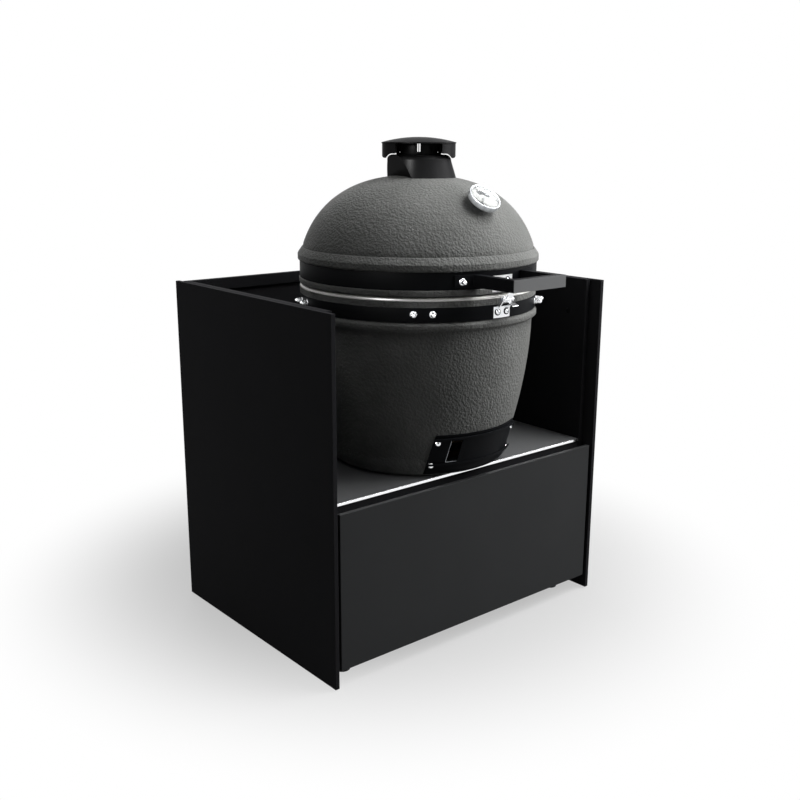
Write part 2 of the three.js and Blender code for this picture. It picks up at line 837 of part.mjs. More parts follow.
function kamadoDome() {
  const lip = domeBottom;
  const outer = domeCurve(beadJunction, flueRadius, domeRadius, domeRise, domeOuterSteps);
  const inner = domeCurve(lip, flueRadius, domeInnerRadius, domeInnerRise, domeInnerSteps);
  const grooveRoof = lip + gasketGroove;
  const profile = [
    [inner[0][0], lip], [gasketInner, lip], [gasketInner, grooveRoof],
    [gasketInner + gasketWidth, grooveRoof], [gasketInner + gasketWidth, lip],
    [rimRadius - domeEdgeEase, lip], [rimRadius, lip + domeEdgeEase],
    [rimRadius, upperBandBottom - seatGap], [bandSeatRadius, upperBandBottom - seatGap],
    [bandSeatRadius, upperBandTop + seatGap], [beadUpperRadius - rimEase, beadUpperBottom],
    [beadUpperRadius, beadUpperBottom + rimEase], [beadUpperRadius, beadUpperTop - rimEase],
    [beadUpperRadius - rimEase / 2, beadUpperTop], ...outer, ...inner.reverse(),
  ];
  profile.pop();
  const bore = rod(gaugeStemRadius + gaugeHoleClearance, 2 * gaugeProbeLength, 'z');
  return cut(revolved(profile), [moved(bore, gaugeMatrix(0))]);
}

// The matrix that stands the thermometer, drawn along +Z, on the dome's front
function gaugeMatrix(lift) {
  const radius = domeRadiusAt(gaugeHeight, domeRadius, domeRise);
  const share = (gaugeHeight - domeCentreHeight) / domeRise;
  const across = (radius / domeRadius) ** (domePower - 1) / domeRadius;
  const up = share ** (domePower - 1) / domeRise;
  const out = new THREE.Vector3(0, -across, up).normalize();
  const place = new THREE.Vector3(0, -radius, gaugeHeight).addScaledVector(out, lift);
  const top = out.clone().cross(axisX);
  return new THREE.Matrix4().makeBasis(axisX, top, out).setPosition(place);
}

// Pieces that are fitted round the bands' outer face
function bandCore(low, high, clearance = 0) {
  const radius = bandFace + clearance;
  return revolved([[0, low], [radius, low], [radius, high], [0, high]]);
}

// A plate bent round a band at the front, between two heights
function bentPlate(halfSpan, thickness, low, high) {
  const sheet = ring(bandFace + thickness, bandFace, low, high);
  const reach = 2 * rimRadius;
  const span = block([-halfSpan, -reach, low - cutOverrun], [halfSpan, 0, high + cutOverrun]);
  return sheet.intersect(span);
}

// Kamado: handle, a front bar on two arms that end in flanges on the upper band
function handle() {
  const outerX = handleWidth / 2;
  const innerX = outerX - handleBarDepth;
  const barBack = -handleReach + handleBarDepth;
  const outline = outlineOf([
    [-outerX, -handleReach], [outerX, -handleReach], [outerX, 0], [innerX, 0],
    [innerX, barBack], [-innerX, barBack], [-innerX, 0], [-outerX, 0],
  ]);
  const middle = handleBottom + handleBarHeight / 2;
  const top = handleBottom + handleBarHeight;
  const frame = shifted(prism(outline, handleBarHeight, 'z', handleEase), 0, 0, middle);
  const seated = cut(frame, [bandCore(handleBottom - cutOverrun, top + cutOverrun)]);
  const sheet = ring(bandFace + handleFlangeThickness, bandFace, handleBottom, top);
  const [near, far] = handleFlangeAngles;
  const flanges = [[near, far], [-far, -near]].map(([from, to]) => (
    sheet.intersect(wedge(from, to, handleBottom - cutOverrun, top + cutOverrun, handleReach))
  ));
  return joined([seated, ...flanges]);
}

// Kamado: front latch
const latchPivotY = -(bandFace + latchPivotReach);
const latchPlateBottom = lowerBandBottom + latchPlateLift;
const latchPlateTop = latchPlateBottom + latchPlateHeight;
const latchPivotHeight = latchPlateTop + latchPivotRise;
const catchPlateBottom = upperBandBottom - catchPlateDrop;
const strikerHeight = catchPlateBottom + strikerLift;
const latchHookReach = strikerHeight + strikerRadius + latchNoseClearance - latchPivotHeight;
const latchBore = latchPinRadius + latchPinClearance;
const latchEarX = latchBarrelLength / 2 + latchSideClearance;

// The latch's bracket: a bent plate whose two ears carry the pin
function latchBracket() {
  const halfPlate = latchPlateWidth / 2;
  const plate = bentPlate(halfPlate, latchPlateThickness, latchPlateBottom, latchPlateTop);
  const root = -bandFace + latchPlateThickness;
  const outline = outlineOf([
    [root, latchPlateBottom + latchEarRoot],
    ...arc(latchPivotY, latchPivotHeight, latchEarRadius, ...latchEarAngles, earSteps),
    [-bandFace - latchPlateThickness / 2, latchPlateTop], [root, latchPlateTop],
  ]);
  const ear = prism(outline, latchEarThickness, 'x');
  const x = latchEarX + latchEarThickness / 2;
  const ears = [-x, x].map((place) => shifted(ear, place, 0, 0));
  const hole = rod(latchPinRadius + seatGap, latchPlateWidth, 'x');
  const core = bandCore(latchPlateBottom - cutOverrun, latchPivotHeight + 2 * latchEarRadius);
  return cut(joined([plate, ...ears]), [core, shifted(hole, 0, latchPivotY, latchPivotHeight)]);
}

function headedPin(radius, headRadius, headLength, halfLength, sides) {
  const end = halfLength + headLength;
  const pin = revolved([
    [0, -end], [headRadius, -end], [headRadius, -halfLength], [radius, -halfLength],
    [radius, halfLength], [headRadius, halfLength], [headRadius, end], [0, end],
  ], sides);
  return moved(pin, layAlong.x);
}

function latchPin() {
  const halfLength = latchEarX + latchEarThickness + seatGap;
  return headedPin(latchPinRadius, latchPinHeadRadius, latchPinHeadLength, halfLength, 12);
}

// The hook about its pivot, in its latched stance: barrel, arm, nose and thumb tab
function latchHook() {
  const barrel = cut(
    rod(latchBarrelRadius, latchBarrelLength, 'x', 16),
    [rod(latchBore, latchBarrelLength + 2 * cutOverrun, 'x')],
  );
  const back = -latchHookStandoff;
  const front = back - latchHookThickness;
  const top = latchHookReach + latchHookThickness;
  const halfTab = latchTabThickness / 2;
  const tip = front - latchTabLength;
  const outline = outlineOf([
    [back, 0], [back, latchHookReach], [latchNoseOverhang, latchHookReach],
    [latchNoseOverhang, top - halfTab], [latchNoseOverhang - halfTab, top],
    [front + halfTab, top], [front, top - halfTab], [front, halfTab], [tip, halfTab],
    [tip - halfTab, 0], [tip, -halfTab], [back - halfTab, -halfTab],
  ]);
  return barrel.add(prism(outline, latchHookWidth, 'x'));
}

function latchCatch() {
  const top = catchPlateBottom + catchPlateHeight;
  return bentPlate(catchPlateWidth / 2, latchPlateThickness, catchPlateBottom, top);
}

// The striker: a bail whose legs end on the catch plate
function latchStriker() {
  const y = -(bandFace + strikerReach);
  const x = strikerWidth / 2;
  const bar = shifted(rod(strikerRadius, strikerWidth, 'x', 8), 0, y, strikerHeight);
  const legLength = strikerReach + strikerRadius;
  const leg = rod(strikerRadius, legLength, 'y', 8);
  const legY = y + legLength / 2;
  const legs = [-x, x].map((place) => shifted(leg, place, legY, strikerHeight));
  const low = strikerHeight - 2 * strikerRadius;
  const core = bandCore(low, strikerHeight + 2 * strikerRadius, latchPlateThickness + seatGap);
  return cut(joined([bar, ...legs]), [core]);
}

// Kamado: rear hinge; brackets are drawn at the front and turned to the back
const hingeAxisY = bandFace + hingeReach;
const halfTurn = new THREE.Matrix4().makeRotationZ(Math.PI);
const hingeUpperHalfWidth = hingeLowerHalfWidth - hingeEarThickness - hingeEarGap;

function hingeBracket(halfWidth, low, high, earPoints, bore) {
  const plate = moved(bentPlate(halfWidth, hingePlateThickness, low, high), halfTurn);
  const ear = prism(outlineOf(earPoints), hingeEarThickness, 'x');
  const x = halfWidth - hingeEarThickness / 2;
  const ears = [-x, x].map((place) => shifted(ear, place, 0, 0));
  const hole = shifted(rod(bore, 2 * halfWidth + cutOverrun, 'x', 16), 0, hingeAxisY, hingeHeight);
  const core = bandCore(low - hingeReach, high + hingeReach);
  return cut(joined([plate, ...ears]), [core, hole]);
}

function hingeLowerBracket() {
  const low = lowerBandBottom + hingePlateMargin;
  const high = lowerBandTop - hingePlateMargin;
  const root = bandFace - 3 * hingePlateThickness;
  const ear = [
    [root, low + hingeEarInset],
    ...arc(hingeAxisY, hingeHeight, hingeEarRadius, ...hingeLowerEarAngles, earSteps),
    [root, high],
  ];
  return hingeBracket(hingeLowerHalfWidth, low, high, ear, hingePinRadius + seatGap);
}

function hingeUpperBracket() {
  const low = upperBandBottom + hingePlateMargin;
  const high = upperBandTop - hingePlateMargin;
  const root = bandFace - 3 * hingePlateThickness;
  const ear = [
    [root, low + hingeEarInset],
    ...arc(hingeAxisY, hingeHeight, hingeEarRadius, ...hingeUpperEarAngles, earSteps),
    [root, high - hingeEarInset],
  ];
  return hingeBracket(hingeUpperHalfWidth, low, high, ear, hingePinRadius + hingePinClearance);
}

function hingePin() {
  const halfLength = hingeLowerHalfWidth + seatGap;
  return headedPin(hingePinRadius, hingePinHeadRadius, hingePinHeadLength, halfLength, 16);
}

// Torsion spring round the pin, with a straight tail at each end; its turns are
// chords between steps, so the coil is wider than the pin by the chords' rise
const springInner = hingePinRadius + springCoilClearance + springWireRadius;
const springCoilRadius = springInner / Math.cos(Math.PI / springStepsPerTurn);

class TorsionSpringCurve extends THREE.Curve {
  getPoint(share, target = new THREE.Vector3()) {
    const turns = share * (springTurns + 2 * springTailTurns) - springTailTurns;
    const onCoil = THREE.MathUtils.clamp(turns, 0, springTurns);
    const tail = (turns - onCoil) * 2 * Math.PI * springCoilRadius;
    const angle = -Math.PI / 2 + onCoil * 2 * Math.PI;
    const y = springCoilRadius * Math.cos(angle) - tail * Math.sin(angle);
    const z = springCoilRadius * Math.sin(angle) + tail * Math.cos(angle);
    return target.set(onCoil * springPitch, y, z);
  }
}

function torsionSpring() {
  const path = new TorsionSpringCurve();
  const steps = springStepsPerTurn * (springTurns + 2 * springTailTurns);
  path.arcLengthDivisions = 8 * steps;
  const section = new THREE.Shape(roundPoints(springWireRadius, springWireSides));
  const geometry = new THREE.ExtrudeGeometry(section, { steps, extrudePath: path });
  geometry.translate(springStart, 0, 0);
  return solid(geometry);
}

// The least gap between two turns of the spring, measured on points of its axis
function springGap() {
  const path = new TorsionSpringCurve();
  const count = 400;
  const points = path.getPoints(count);
  const apart = Math.ceil(count / (springTurns + 2 * springTailTurns) / 2);
  let least = Infinity;
  for (let i = 0; i < points.length; i++) {
    for (let j = i + apart; j < points.length; j++) {
      least = Math.min(least, points[i].distanceTo(points[j]));
    }
  }
  return least - 2 * springWireRadius;
}

// Kamado: chimney, a cone with a rounded shoulder and two leaning flats
function chimney() {
  const seatAt = (radius) => domeHeightAt(radius, domeRadius, domeRise) + chimneySeatGap;
  const middle = (chimneyBoreBase + chimneyBaseRadius) / 2;
  const shoulder = arc(
    chimneyTopRadius - chimneyShoulder, chimneyConeTop, chimneyShoulder, 0, 90,
    chimneyShoulderSteps,
  );
  const body = revolved([
    [chimneyBoreBase, seatAt(chimneyBoreBase)], [middle, seatAt(middle)],
    [chimneyBaseRadius, seatAt(chimneyBaseRadius)], ...shoulder, [chimneyBoreTop, chimneyTop],
  ]);
  return cut(body, [chimneyFlat(-chimneyFlatAzimuth), chimneyFlat(chimneyFlatAzimuth)]);
}

// The wedge of space outside a leaning flat
function chimneyFlat(azimuth) {
  const [low, high] = chimneyFlatHeights;
  const lean = (chimneyFlatTop - chimneyFlatBase) / (high - low);
  const under = low - chimneyShoulder;
  const over = chimneyTop + chimneyShoulder;
  const reach = 2 * chimneyBaseRadius;
  const outline = outlineOf([
    [chimneyFlatBase + lean * (under - low), under], [reach, under], [reach, over],
    [chimneyFlatBase + lean * (over - low), over],
  ]);
  const out = outward(azimuth);
  const place = new THREE.Matrix4().makeBasis(out, axisZ, out.clone().cross(axisZ));
  return moved(prism(outline, 2 * reach, 'z'), place);
}

// The slots of the collar and of the sleeve, which line up in the rest stance
function ventSlotCuts(low) {
  const cuts = [];
  for (let i = 0; i < ventSlots; i++) {
    const middle = capAzimuth + (i * 360) / ventSlots;
    const half = ventSlotAngle / 2;
    const reach = collarRadius + cutOverrun;
    cuts.push(wedge(middle - half, middle + half, low, low + ventSlotHeight, reach));
  }
  return cuts;
}

const collarBottom = chimneyTop + seatGap;

function ventCollar() {
  const top = collarBottom + collarHeight;
  const wall = cut(
    ring(collarRadius, collarRadius - collarWall, collarBottom, top),
    ventSlotCuts(collarBottom + ventSlotLift),
  );
  const half = collarRadius - collarWall / 2;
  const bridgeTop = collarBottom + bridgeThickness;
  const low = [-half, -bridgeWidth / 2, collarBottom];
  const bridge = block(low, [half, bridgeWidth / 2, bridgeTop], 'x');
  const hole = rod(spindleRadius + spindleClearance, 2 * collarHeight, 'z');
  return cut(wall.add(bridge), [shifted(hole, 0, 0, collarBottom)]);
}

// The rain cap: crown, skirt with two arches and the damper sleeve, one casting
function ventCap() {
  const crownRadius = (capRadius ** 2 + capCrownRise ** 2) / (2 * capCrownRise);
  const crownAt = (radius) => (
    capRimHeight + Math.sqrt(crownRadius ** 2 - radius ** 2) - crownRadius + capCrownRise
  );
  const rimLow = capRimHeight - capRimThickness;
  const inner = skirtRadius - skirtWall;
  const crown = crownShares.map((share) => [share * capRadius, crownAt(share * capRadius)]);
  const sleeveOuter = collarRadius - collarWall - sleeveClearance;
  const sleeveInner = sleeveOuter - sleeveWall;
  const sleeveBottom = collarBottom + bridgeThickness + sleeveClearance;
  const under = (radius) => [radius, crownAt(radius) - capCrownThickness];
  const body = revolved([
    [0, crownAt(0) - capCrownThickness], under(sleeveInner), [sleeveInner, sleeveBottom],
    [sleeveOuter, sleeveBottom], under(sleeveOuter), under(inner), [inner, skirtBottom],
    ...arc(skirtRadius - skirtEase, skirtBottom + skirtEase, skirtEase, -90, 0, skirtSteps),
    [skirtRadius, rimLow], [capRadius, rimLow], ...crown,
  ]);
  const slots = ventSlotCuts(collarBottom + ventSlotLift);
  return cut(body, [ventArch(), ...slots]);
}

// The arch through both sides of the skirt, a gap above the chimney's shoulder, clear of the sleeve
function ventArch() {
  const low = skirtBottom - cutOverrun;
  const high = capRimHeight - capRimThickness - archTopGap;
  const clear = chimneyShoulder + archShoulderGap;
  const foot = arc(
    chimneyTopRadius - chimneyShoulder, chimneyConeTop, clear, archFootAngle, 90, archSteps,
  );
  const bend = chimneyConeTop + clear;
  const half = [[foot[0][0], low], ...foot, [archHalfWidth, bend], [archHalfWidth, high]];
  const other = half.map(([x, z]) => [-x, z]).reverse();
  const length = 2 * (capRadius + cutOverrun);
  const through = prism(outlineOf([...half, ...other]), length, 'y');
  const turned = moved(through, new THREE.Matrix4().makeRotationZ(degrees(capAzimuth)));
  const kept = rod(skirtRadius - skirtWall - cutOverrun, 2 * skirtBottom, 'z', innerFacets);
  return turned.subtract(kept);
}

// The spindle, necked between bridge and crown so that the slots let daylight through
function ventSpindle() {
  const top = capRimHeight + capCrownRise - capCrownThickness - seatGap;
  const collarTop = collarBottom - sleeveClearance;
  const low = collarTop - spindleCollarHeight;
  const neckLow = collarBottom + bridgeThickness + sleeveClearance;
  const neckHigh = collarBottom + ventSlotLift + ventSlotHeight;
  return revolved([
    [0, low], [spindleCollarRadius, low], [spindleCollarRadius, collarTop],
    [spindleRadius, collarTop], [spindleRadius, neckLow], [spindleNeckRadius, neckLow],
    [spindleNeckRadius, neckHigh], [spindleRadius, neckHigh], [spindleRadius, top], [0, top],
  ], spindleFacets);
}

// Kamado: thermometer, drawn along +Z from the dome's surface
const gaugeFace = gaugeStandoff + gaugeDepth;
const gaugeWell = gaugeRadius - gaugeBezel;

function gaugeCase() {
  return revolved([
    [0, -gaugeProbeLength], [gaugeProbeRadius, -gaugeProbeLength],
    [gaugeProbeRadius, -gaugeStemLength], [gaugeStemRadius, -gaugeStemLength],
    [gaugeStemRadius, seatGap], [gaugeBossRadius, seatGap], [gaugeBossRadius, gaugeBossHeight],
    [gaugeFlareRadius, gaugeStandoff], [gaugeWell, gaugeStandoff],
    [gaugeRadius, gaugeStandoff + gaugeEase], [gaugeRadius, gaugeFace - gaugeEase],
    [gaugeRadius - gaugeEase, gaugeFace], [gaugeWell, gaugeFace],
    [gaugeWell, gaugeStandoff + gaugeBackWall], [0, gaugeStandoff + gaugeBackWall],
  ], innerFacets);
}

function disc(radius, thickness) {
  return revolved([[0, 0], [radius, 0], [radius, thickness], [0, thickness]], innerFacets);
}

// The pointer about its own axis, with its tip along +Y
function gaugeNeedle() {
  const half = gaugeNeedleWidth / 2;
  const outline = outlineOf([
    [-half, -gaugeNeedleTail], [half, -gaugeNeedleTail], [half, 0],
    [half / 4, gaugeNeedleLength], [-half / 4, gaugeNeedleLength], [-half, 0],
  ]);
  const hub = rod(gaugeHubRadius, gaugeHubHeight, 'z');
  const lift = gaugeNeedleLift + gaugeNeedleThickness / 2;
  const pointer = shifted(prism(outline, gaugeNeedleThickness, 'z'), 0, 0, lift);
  return pointer.add(shifted(hub, 0, 0, gaugeHubHeight / 2));
}

// Kamado: draft door; shells that follow the bowl between two offsets
function bowlShell(near, far, low, high, angles) {
  const heights = bowlHeights(low, high);
  const inside = heights.map((height) => [bowlRadiusAt(height) + near, height]);
  const outside = heights.map((height) => [bowlRadiusAt(height) + far, height]);
  const shell = revolved([...inside, ...outside.reverse()]);
  return shell.intersect(wedge(...angles, low - cutOverrun, high + cutOverrun, 2 * bowlTopRadius));
}

const draftFrameFace = seatGap + draftFrameThickness;
const draftSliderFace = draftFrameFace + draftSliderClearance + draftSliderThickness;
const draftSliderHeights = [
  draftWindowHeights[0] - draftSliderOverlap, draftWindowHeights[1] + draftSliderOverlap,
];

function draftFrame() {
  const angles = [-draftFrameHalfAngle, draftFrameHalfAngle];
  const plate = bowlShell(seatGap, draftFrameFace, ...draftFrameHeights, angles);
  const window = wedge(...draftWindowAngles, ...draftWindowHeights, 2 * bowlTopRadius);
  const lipNear = draftSliderFace + draftSliderClearance;
  const lipFar = lipNear + draftRailThickness;
  const [low, high] = draftSliderHeights;
  const rails = [
    [low - draftRailRoot, low - draftSliderClearance, low + draftRailLip],
    [high + draftRailRoot, high + draftSliderClearance, high - draftRailLip],
  ].map(([root, ledge, lip]) => {
    const span = [root, ledge].sort((one, other) => one - other);
    const cover = [root, lip].sort((one, other) => one - other);
    const web = bowlShell(draftFrameFace - draftRailThickness, lipFar, ...span, angles);
    return web.add(bowlShell(lipNear, lipFar, ...cover, angles));
  });
  return joined([cut(plate, [window]), ...rails]);
}

function draftSlider() {
  const near = draftFrameFace + draftSliderClearance;
  return bowlShell(near, draftSliderFace, ...draftSliderHeights, draftSliderAngles);
}

// Kamado: fire bowl, standing on the bowl's floor
function firebox() {
  const low = bowlFloor + seatGap;
  const ledgeLow = grateLedgeTop - grateLedgeThickness;
  const outerAt = (height) => {
    const share = (height - low) / (fireboxHeight - low);
    return fireboxFootRadius + (fireboxTopRadius - fireboxFootRadius) * share;
  };
  const innerAt = (height) => outerAt(height) - fireboxWall;
  const body = revolved([
    [innerAt(low), low], [fireboxFootRadius, low], [fireboxTopRadius, fireboxHeight],
    [innerAt(fireboxHeight), fireboxHeight], [innerAt(grateLedgeTop), grateLedgeTop],
    [grateLedgeRadius, grateLedgeTop], [grateLedgeRadius, ledgeLow], [innerAt(ledgeLow), ledgeLow],
  ], innerFacets);
  return cut(body, [wedge(...fireboxMouthAngles, ...fireboxMouthHeights, bowlTopRadius)]);
}

function fireRing() {
  const low = fireboxHeight + seatGap;
  return ring(fireboxTopRadius, fireboxTopRadius - fireboxWall, low, fireRingTop, innerFacets);
}

function charcoalGrate() {
  const low = grateLedgeTop + seatGap;
  const plate = shifted(disc(grateRadius, grateThickness), 0, 0, low);
  const slots = [];
  for (let i = 0; i < grateSlots; i++) {
    const x = (i - (grateSlots - 1) / 2) * grateSlotPitch;
    const [left, right] = [x - grateSlotWidth / 2, x + grateSlotWidth / 2];
    const far = Math.max(-left, right);
    const half = Math.sqrt((grateRadius - grateRimWidth) ** 2 - far ** 2);
    slots.push(block([left, -half, 0], [right, half, 2 * grateLedgeTop]));
  }
  return cut(plate, slots);
}

// Cooking grid: a round rim of wire with straight bars across
function cookingGrid() {
  const middle = fireRingTop + seatGap + gridRimWire;
  const section = roundPoints(gridRimWire, gridWireSides).map((point) => (
    [gridRadius - gridRimWire + point.x, middle + point.y]
  ));
  const rim = revolved(section, shellFacets);
  const bars = [];
  const pitch = (2 * gridRadius) / (gridBars + 1);
  for (let i = 1; i <= gridBars; i++) {
    const x = -gridRadius + i * pitch;
    const length = 2 * Math.sqrt((gridRadius - gridRimWire) ** 2 - x * x);
    bars.push(shifted(rod(gridWire, length, 'y', gridWireSides), x, 0, middle));
  }
  return joined([rim, ...bars]);
}

function addKamadoShell(group) {
  const rimLow = rimTop - gasketGroove + seatGap;
  const between = (rimTop + domeBottom) / 2;
  const half = seatGap / 2;
  addPiece(group, 'kamado_base', kamadoBase(), 'ceramic');
  addPiece(group, 'kamado_dome', kamadoDome(), 'ceramic');
  addPiece(group, 'base_gasket', gasket(rimLow, between - half), 'felt');
  addPiece(group, 'dome_gasket', gasket(between + half, domeBottom + gasketGroove - seatGap), 'felt');
  addPiece(group, 'lower_band', band(lowerBandBottom, lowerBandHeight), 'band');
  addPiece(group, 'upper_band', band(upperBandBottom, upperBandHeight), 'band');
  addPiece(group, 'handle', handle(), 'band');
}

function addLatch(group) {
  addPiece(group, 'latch_bracket', latchBracket(), 'chrome');
  addPiece(group, 'latch_pin', latchPin(), 'chrome').position.set(0, latchPivotY, latchPivotHeight);
  const hook = addPiece(group, 'latch_hook', latchHook(), 'chrome');
  hook.position.set(0, latchPivotY, latchPivotHeight);
  hook.rotation.x = degrees(latchReleaseAngle);
  addPiece(group, 'latch_catch', latchCatch(), 'chrome');
  addPiece(group, 'latch_striker', latchStriker(), 'chrome');
}

function addHinge(group) {
  addPiece(group, 'hinge_lower_bracket', hingeLowerBracket(), 'band');
  addPiece(group, 'hinge_upper_bracket', hingeUpperBracket(), 'band');
  addPiece(group, 'hinge_pin', hingePin(), 'stainless').position.set(0, hingeAxisY, hingeHeight);
  const spring = torsionSpring();
  const springs = [['right', spring], ['left', mirroredX(spring)]];
  for (const [side, shape] of springs) {
    const mesh = addPiece(group, `hinge_spring_${side}`, shape, 'stainless');
    mesh.position.set(0, hingeAxisY, hingeHeight);
  }
  console.log(`hinge spring, least gap between turns: ${springGap().toFixed(2)} mm`);
}

function addVent(group) {
  addPiece(group, 'chimney', chimney(), 'casting');
  addPiece(group, 'vent_collar', ventCollar(), 'casting');
  addPiece(group, 'vent_cap', ventCap(), 'casting');
  addPiece(group, 'vent_spindle', ventSpindle(), 'stainless');
}

function addThermometer(group) {
  const dialLow = gaugeStandoff + gaugeBackWall + seatGap;
  const dialTop = dialLow + gaugeDialThickness;
  const lensLow = gaugeFace - gaugeLensRecess - gaugeLensThickness;
  const fitted = gaugeWell - seatGap;
  const pieces = [
    ['thermometer_case', gaugeCase(), 'stainless', 0],
    ['thermometer_dial', disc(fitted, gaugeDialThickness), 'dial', dialLow],
    ['thermometer_needle', gaugeNeedle(), 'needle', dialTop + seatGap],
    ['thermometer_lens', disc(fitted, gaugeLensThickness), 'glass', lensLow],
  ];
  for (const [name, shape, finish, lift] of pieces) {
    const mesh = addPiece(group, name, shape, finish);
    mesh.applyMatrix4(gaugeMatrix(lift));
    if (name === 'thermometer_needle') mesh.rotateZ(degrees(gaugeNeedleAngle));
  }
}

function addFire(group) {
  addPiece(group, 'draft_frame', draftFrame(), 'band');
  addPiece(group, 'draft_slider', draftSlider(), 'band');
  addPiece(group, 'firebox', firebox(), 'fireclay');
  addPiece(group, 'fire_ring', fireRing(), 'fireclay');
  addPiece(group, 'charcoal_grate', charcoalGrate(), 'iron');
  addPiece(group, 'cooking_grid', cookingGrid(), 'stainless');
}

addModule(table);
addDrawer(table);
addKamadoShell(kamado);
addLatch(kamado);
addHinge(kamado);
addVent(kamado);
addThermometer(kamado);
addFire(kamado);

// The origin lies under the middle of the whole: the handle stands out at the front
table.position.y = (handleReach - kamadoY - halfDepth) / 2;

export default table;
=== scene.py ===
import math

import bmesh
import bpy
from bpy.props import FloatProperty, FloatVectorProperty, IntProperty, PointerProperty
from bpy.types import Operator, Panel, PropertyGroup
from mathutils import Matrix, Vector


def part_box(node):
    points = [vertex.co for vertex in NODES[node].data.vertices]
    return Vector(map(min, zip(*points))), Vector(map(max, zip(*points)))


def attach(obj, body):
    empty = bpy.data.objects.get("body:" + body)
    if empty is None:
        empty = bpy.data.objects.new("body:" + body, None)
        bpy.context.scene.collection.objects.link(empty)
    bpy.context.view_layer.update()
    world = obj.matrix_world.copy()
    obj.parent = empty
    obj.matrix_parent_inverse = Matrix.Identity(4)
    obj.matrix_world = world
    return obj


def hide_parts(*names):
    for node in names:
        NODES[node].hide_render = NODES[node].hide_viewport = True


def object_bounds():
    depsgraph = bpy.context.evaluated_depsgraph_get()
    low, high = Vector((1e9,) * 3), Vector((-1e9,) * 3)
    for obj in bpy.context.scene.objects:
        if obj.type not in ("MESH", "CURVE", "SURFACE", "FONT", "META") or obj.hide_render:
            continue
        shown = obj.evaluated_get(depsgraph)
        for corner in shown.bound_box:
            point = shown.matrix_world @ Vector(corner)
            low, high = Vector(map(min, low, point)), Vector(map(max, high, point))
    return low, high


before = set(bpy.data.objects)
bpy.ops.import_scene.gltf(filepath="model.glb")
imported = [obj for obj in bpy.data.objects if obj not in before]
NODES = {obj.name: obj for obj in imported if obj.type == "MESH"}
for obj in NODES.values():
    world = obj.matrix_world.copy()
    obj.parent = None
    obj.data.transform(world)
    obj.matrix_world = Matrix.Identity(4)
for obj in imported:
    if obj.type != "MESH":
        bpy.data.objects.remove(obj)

bl_info = {
    "name": "Kamado grill table",
    "version": (1, 0, 0),
    "blender": (4, 5, 0),
    "location": "3D View > Sidebar > Kamado",
    "description": "Dresses a kitchen module and the ceramic kamado that stands on its shelf",
    "category": "Object",
}

CAD_BOX = [list(corner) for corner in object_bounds()]
BASE_LOW, BASE_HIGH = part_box("kamado_base")
# The kamado's upright axis, at the height of the shelf that it stands on
AXIS = Vector(((BASE_LOW.x + BASE_HIGH.x) / 2, (BASE_LOW.y + BASE_HIGH.y) / 2, BASE_LOW.z))
PLACE = Matrix.Translation(AXIS)
# Turns a drawn outline so that its X and Y lie along Y and Z, and its thickness along X
ALONG_X = Matrix(((0, 0, 1, 0), (1, 0, 0, 0), (0, 1, 0, 0), (0, 0, 0, 1)))
SIDES = (("left", -1), ("right", 1))
MM = 0.001
# Left free between pieces that are fitted to one another
GAP = 0.3 * MM
# Rounding of the smallest pieces, of small ones, and of the beads' corners under the glaze
FINE_EDGE = 0.3 * MM
SMALL_EDGE = 0.5 * MM
GLAZE_EDGE = 2 * MM
MADE = {}


def linear(colour):
    """Linear red, green and blue of an sRGB hex colour."""
    channels = [int(colour[i:i + 2], 16) / 255 for i in (0, 2, 4)]
    return [c / 12.92 if c <= 0.04045 else ((c + 0.055) / 1.055) ** 2.4 for c in channels]


def length(label, says, millimetres):
    """A size that a user may change, given in millimetres and kept in metres."""
    return FloatProperty(
        name=label, description=says, default=millimetres * MM, precision=4, unit="LENGTH"
    )


def number(label, says, value):
    """A plain number that a user may change."""
    return FloatProperty(name=label, description=says, default=value)


def angle(label, says, degrees):
    """An angle that a user may change, given in degrees."""
    return FloatProperty(
        name=label, description=says, default=math.radians(degrees), unit="ROTATION"
    )


def watts(label, says, power):
    """A lamp's power that a user may change."""
    return FloatProperty(name=label, description=says, default=power, unit="POWER")


def colour(label, says, value):
    """A colour that a user may change, given as sRGB hex."""
    return FloatVectorProperty(
        name=label, description=says, default=linear(value), size=3, subtype="COLOR",
        min=0.0, max=1.0
    )


class CabinetSizes(PropertyGroup):
    """Sizes of the module's boards and of the small parts on them."""

    board_ease: length("Board edge", "Radius of the rounded edges of the outer panels", 1.1)
    plate_ease: length("Plate edge", "Radius of the edges of shelf and rails", 0.6)
    trim_lean: length("Trim lean", "How far the trim's face leans back at its top", 1.4)
    trim_ease: length("Trim edge", "Radius of the trim's edges", 0.25)
    drawer_drop: length("Drawer drop", "Drawer front's edge below the solid's top", 5.3)
    bolt_inset: length("Bolt from the top", "Coupling bolt below the walls' top edge", 93.4)
    bolt_front: length("Front bolt", "Y of the two front coupling bolts", -162)
    bolt_rear: length("Rear bolt", "Y of the two rear coupling bolts", 294.7)
    bolt_head: length("Bolt head", "Radius of a coupling bolt's button head", 8)
    bolt_dome: length("Bolt dome", "Height of the button head", 4.2)
    bolt_socket: length("Bolt socket", "Half width of the hexagon socket", 2.6)


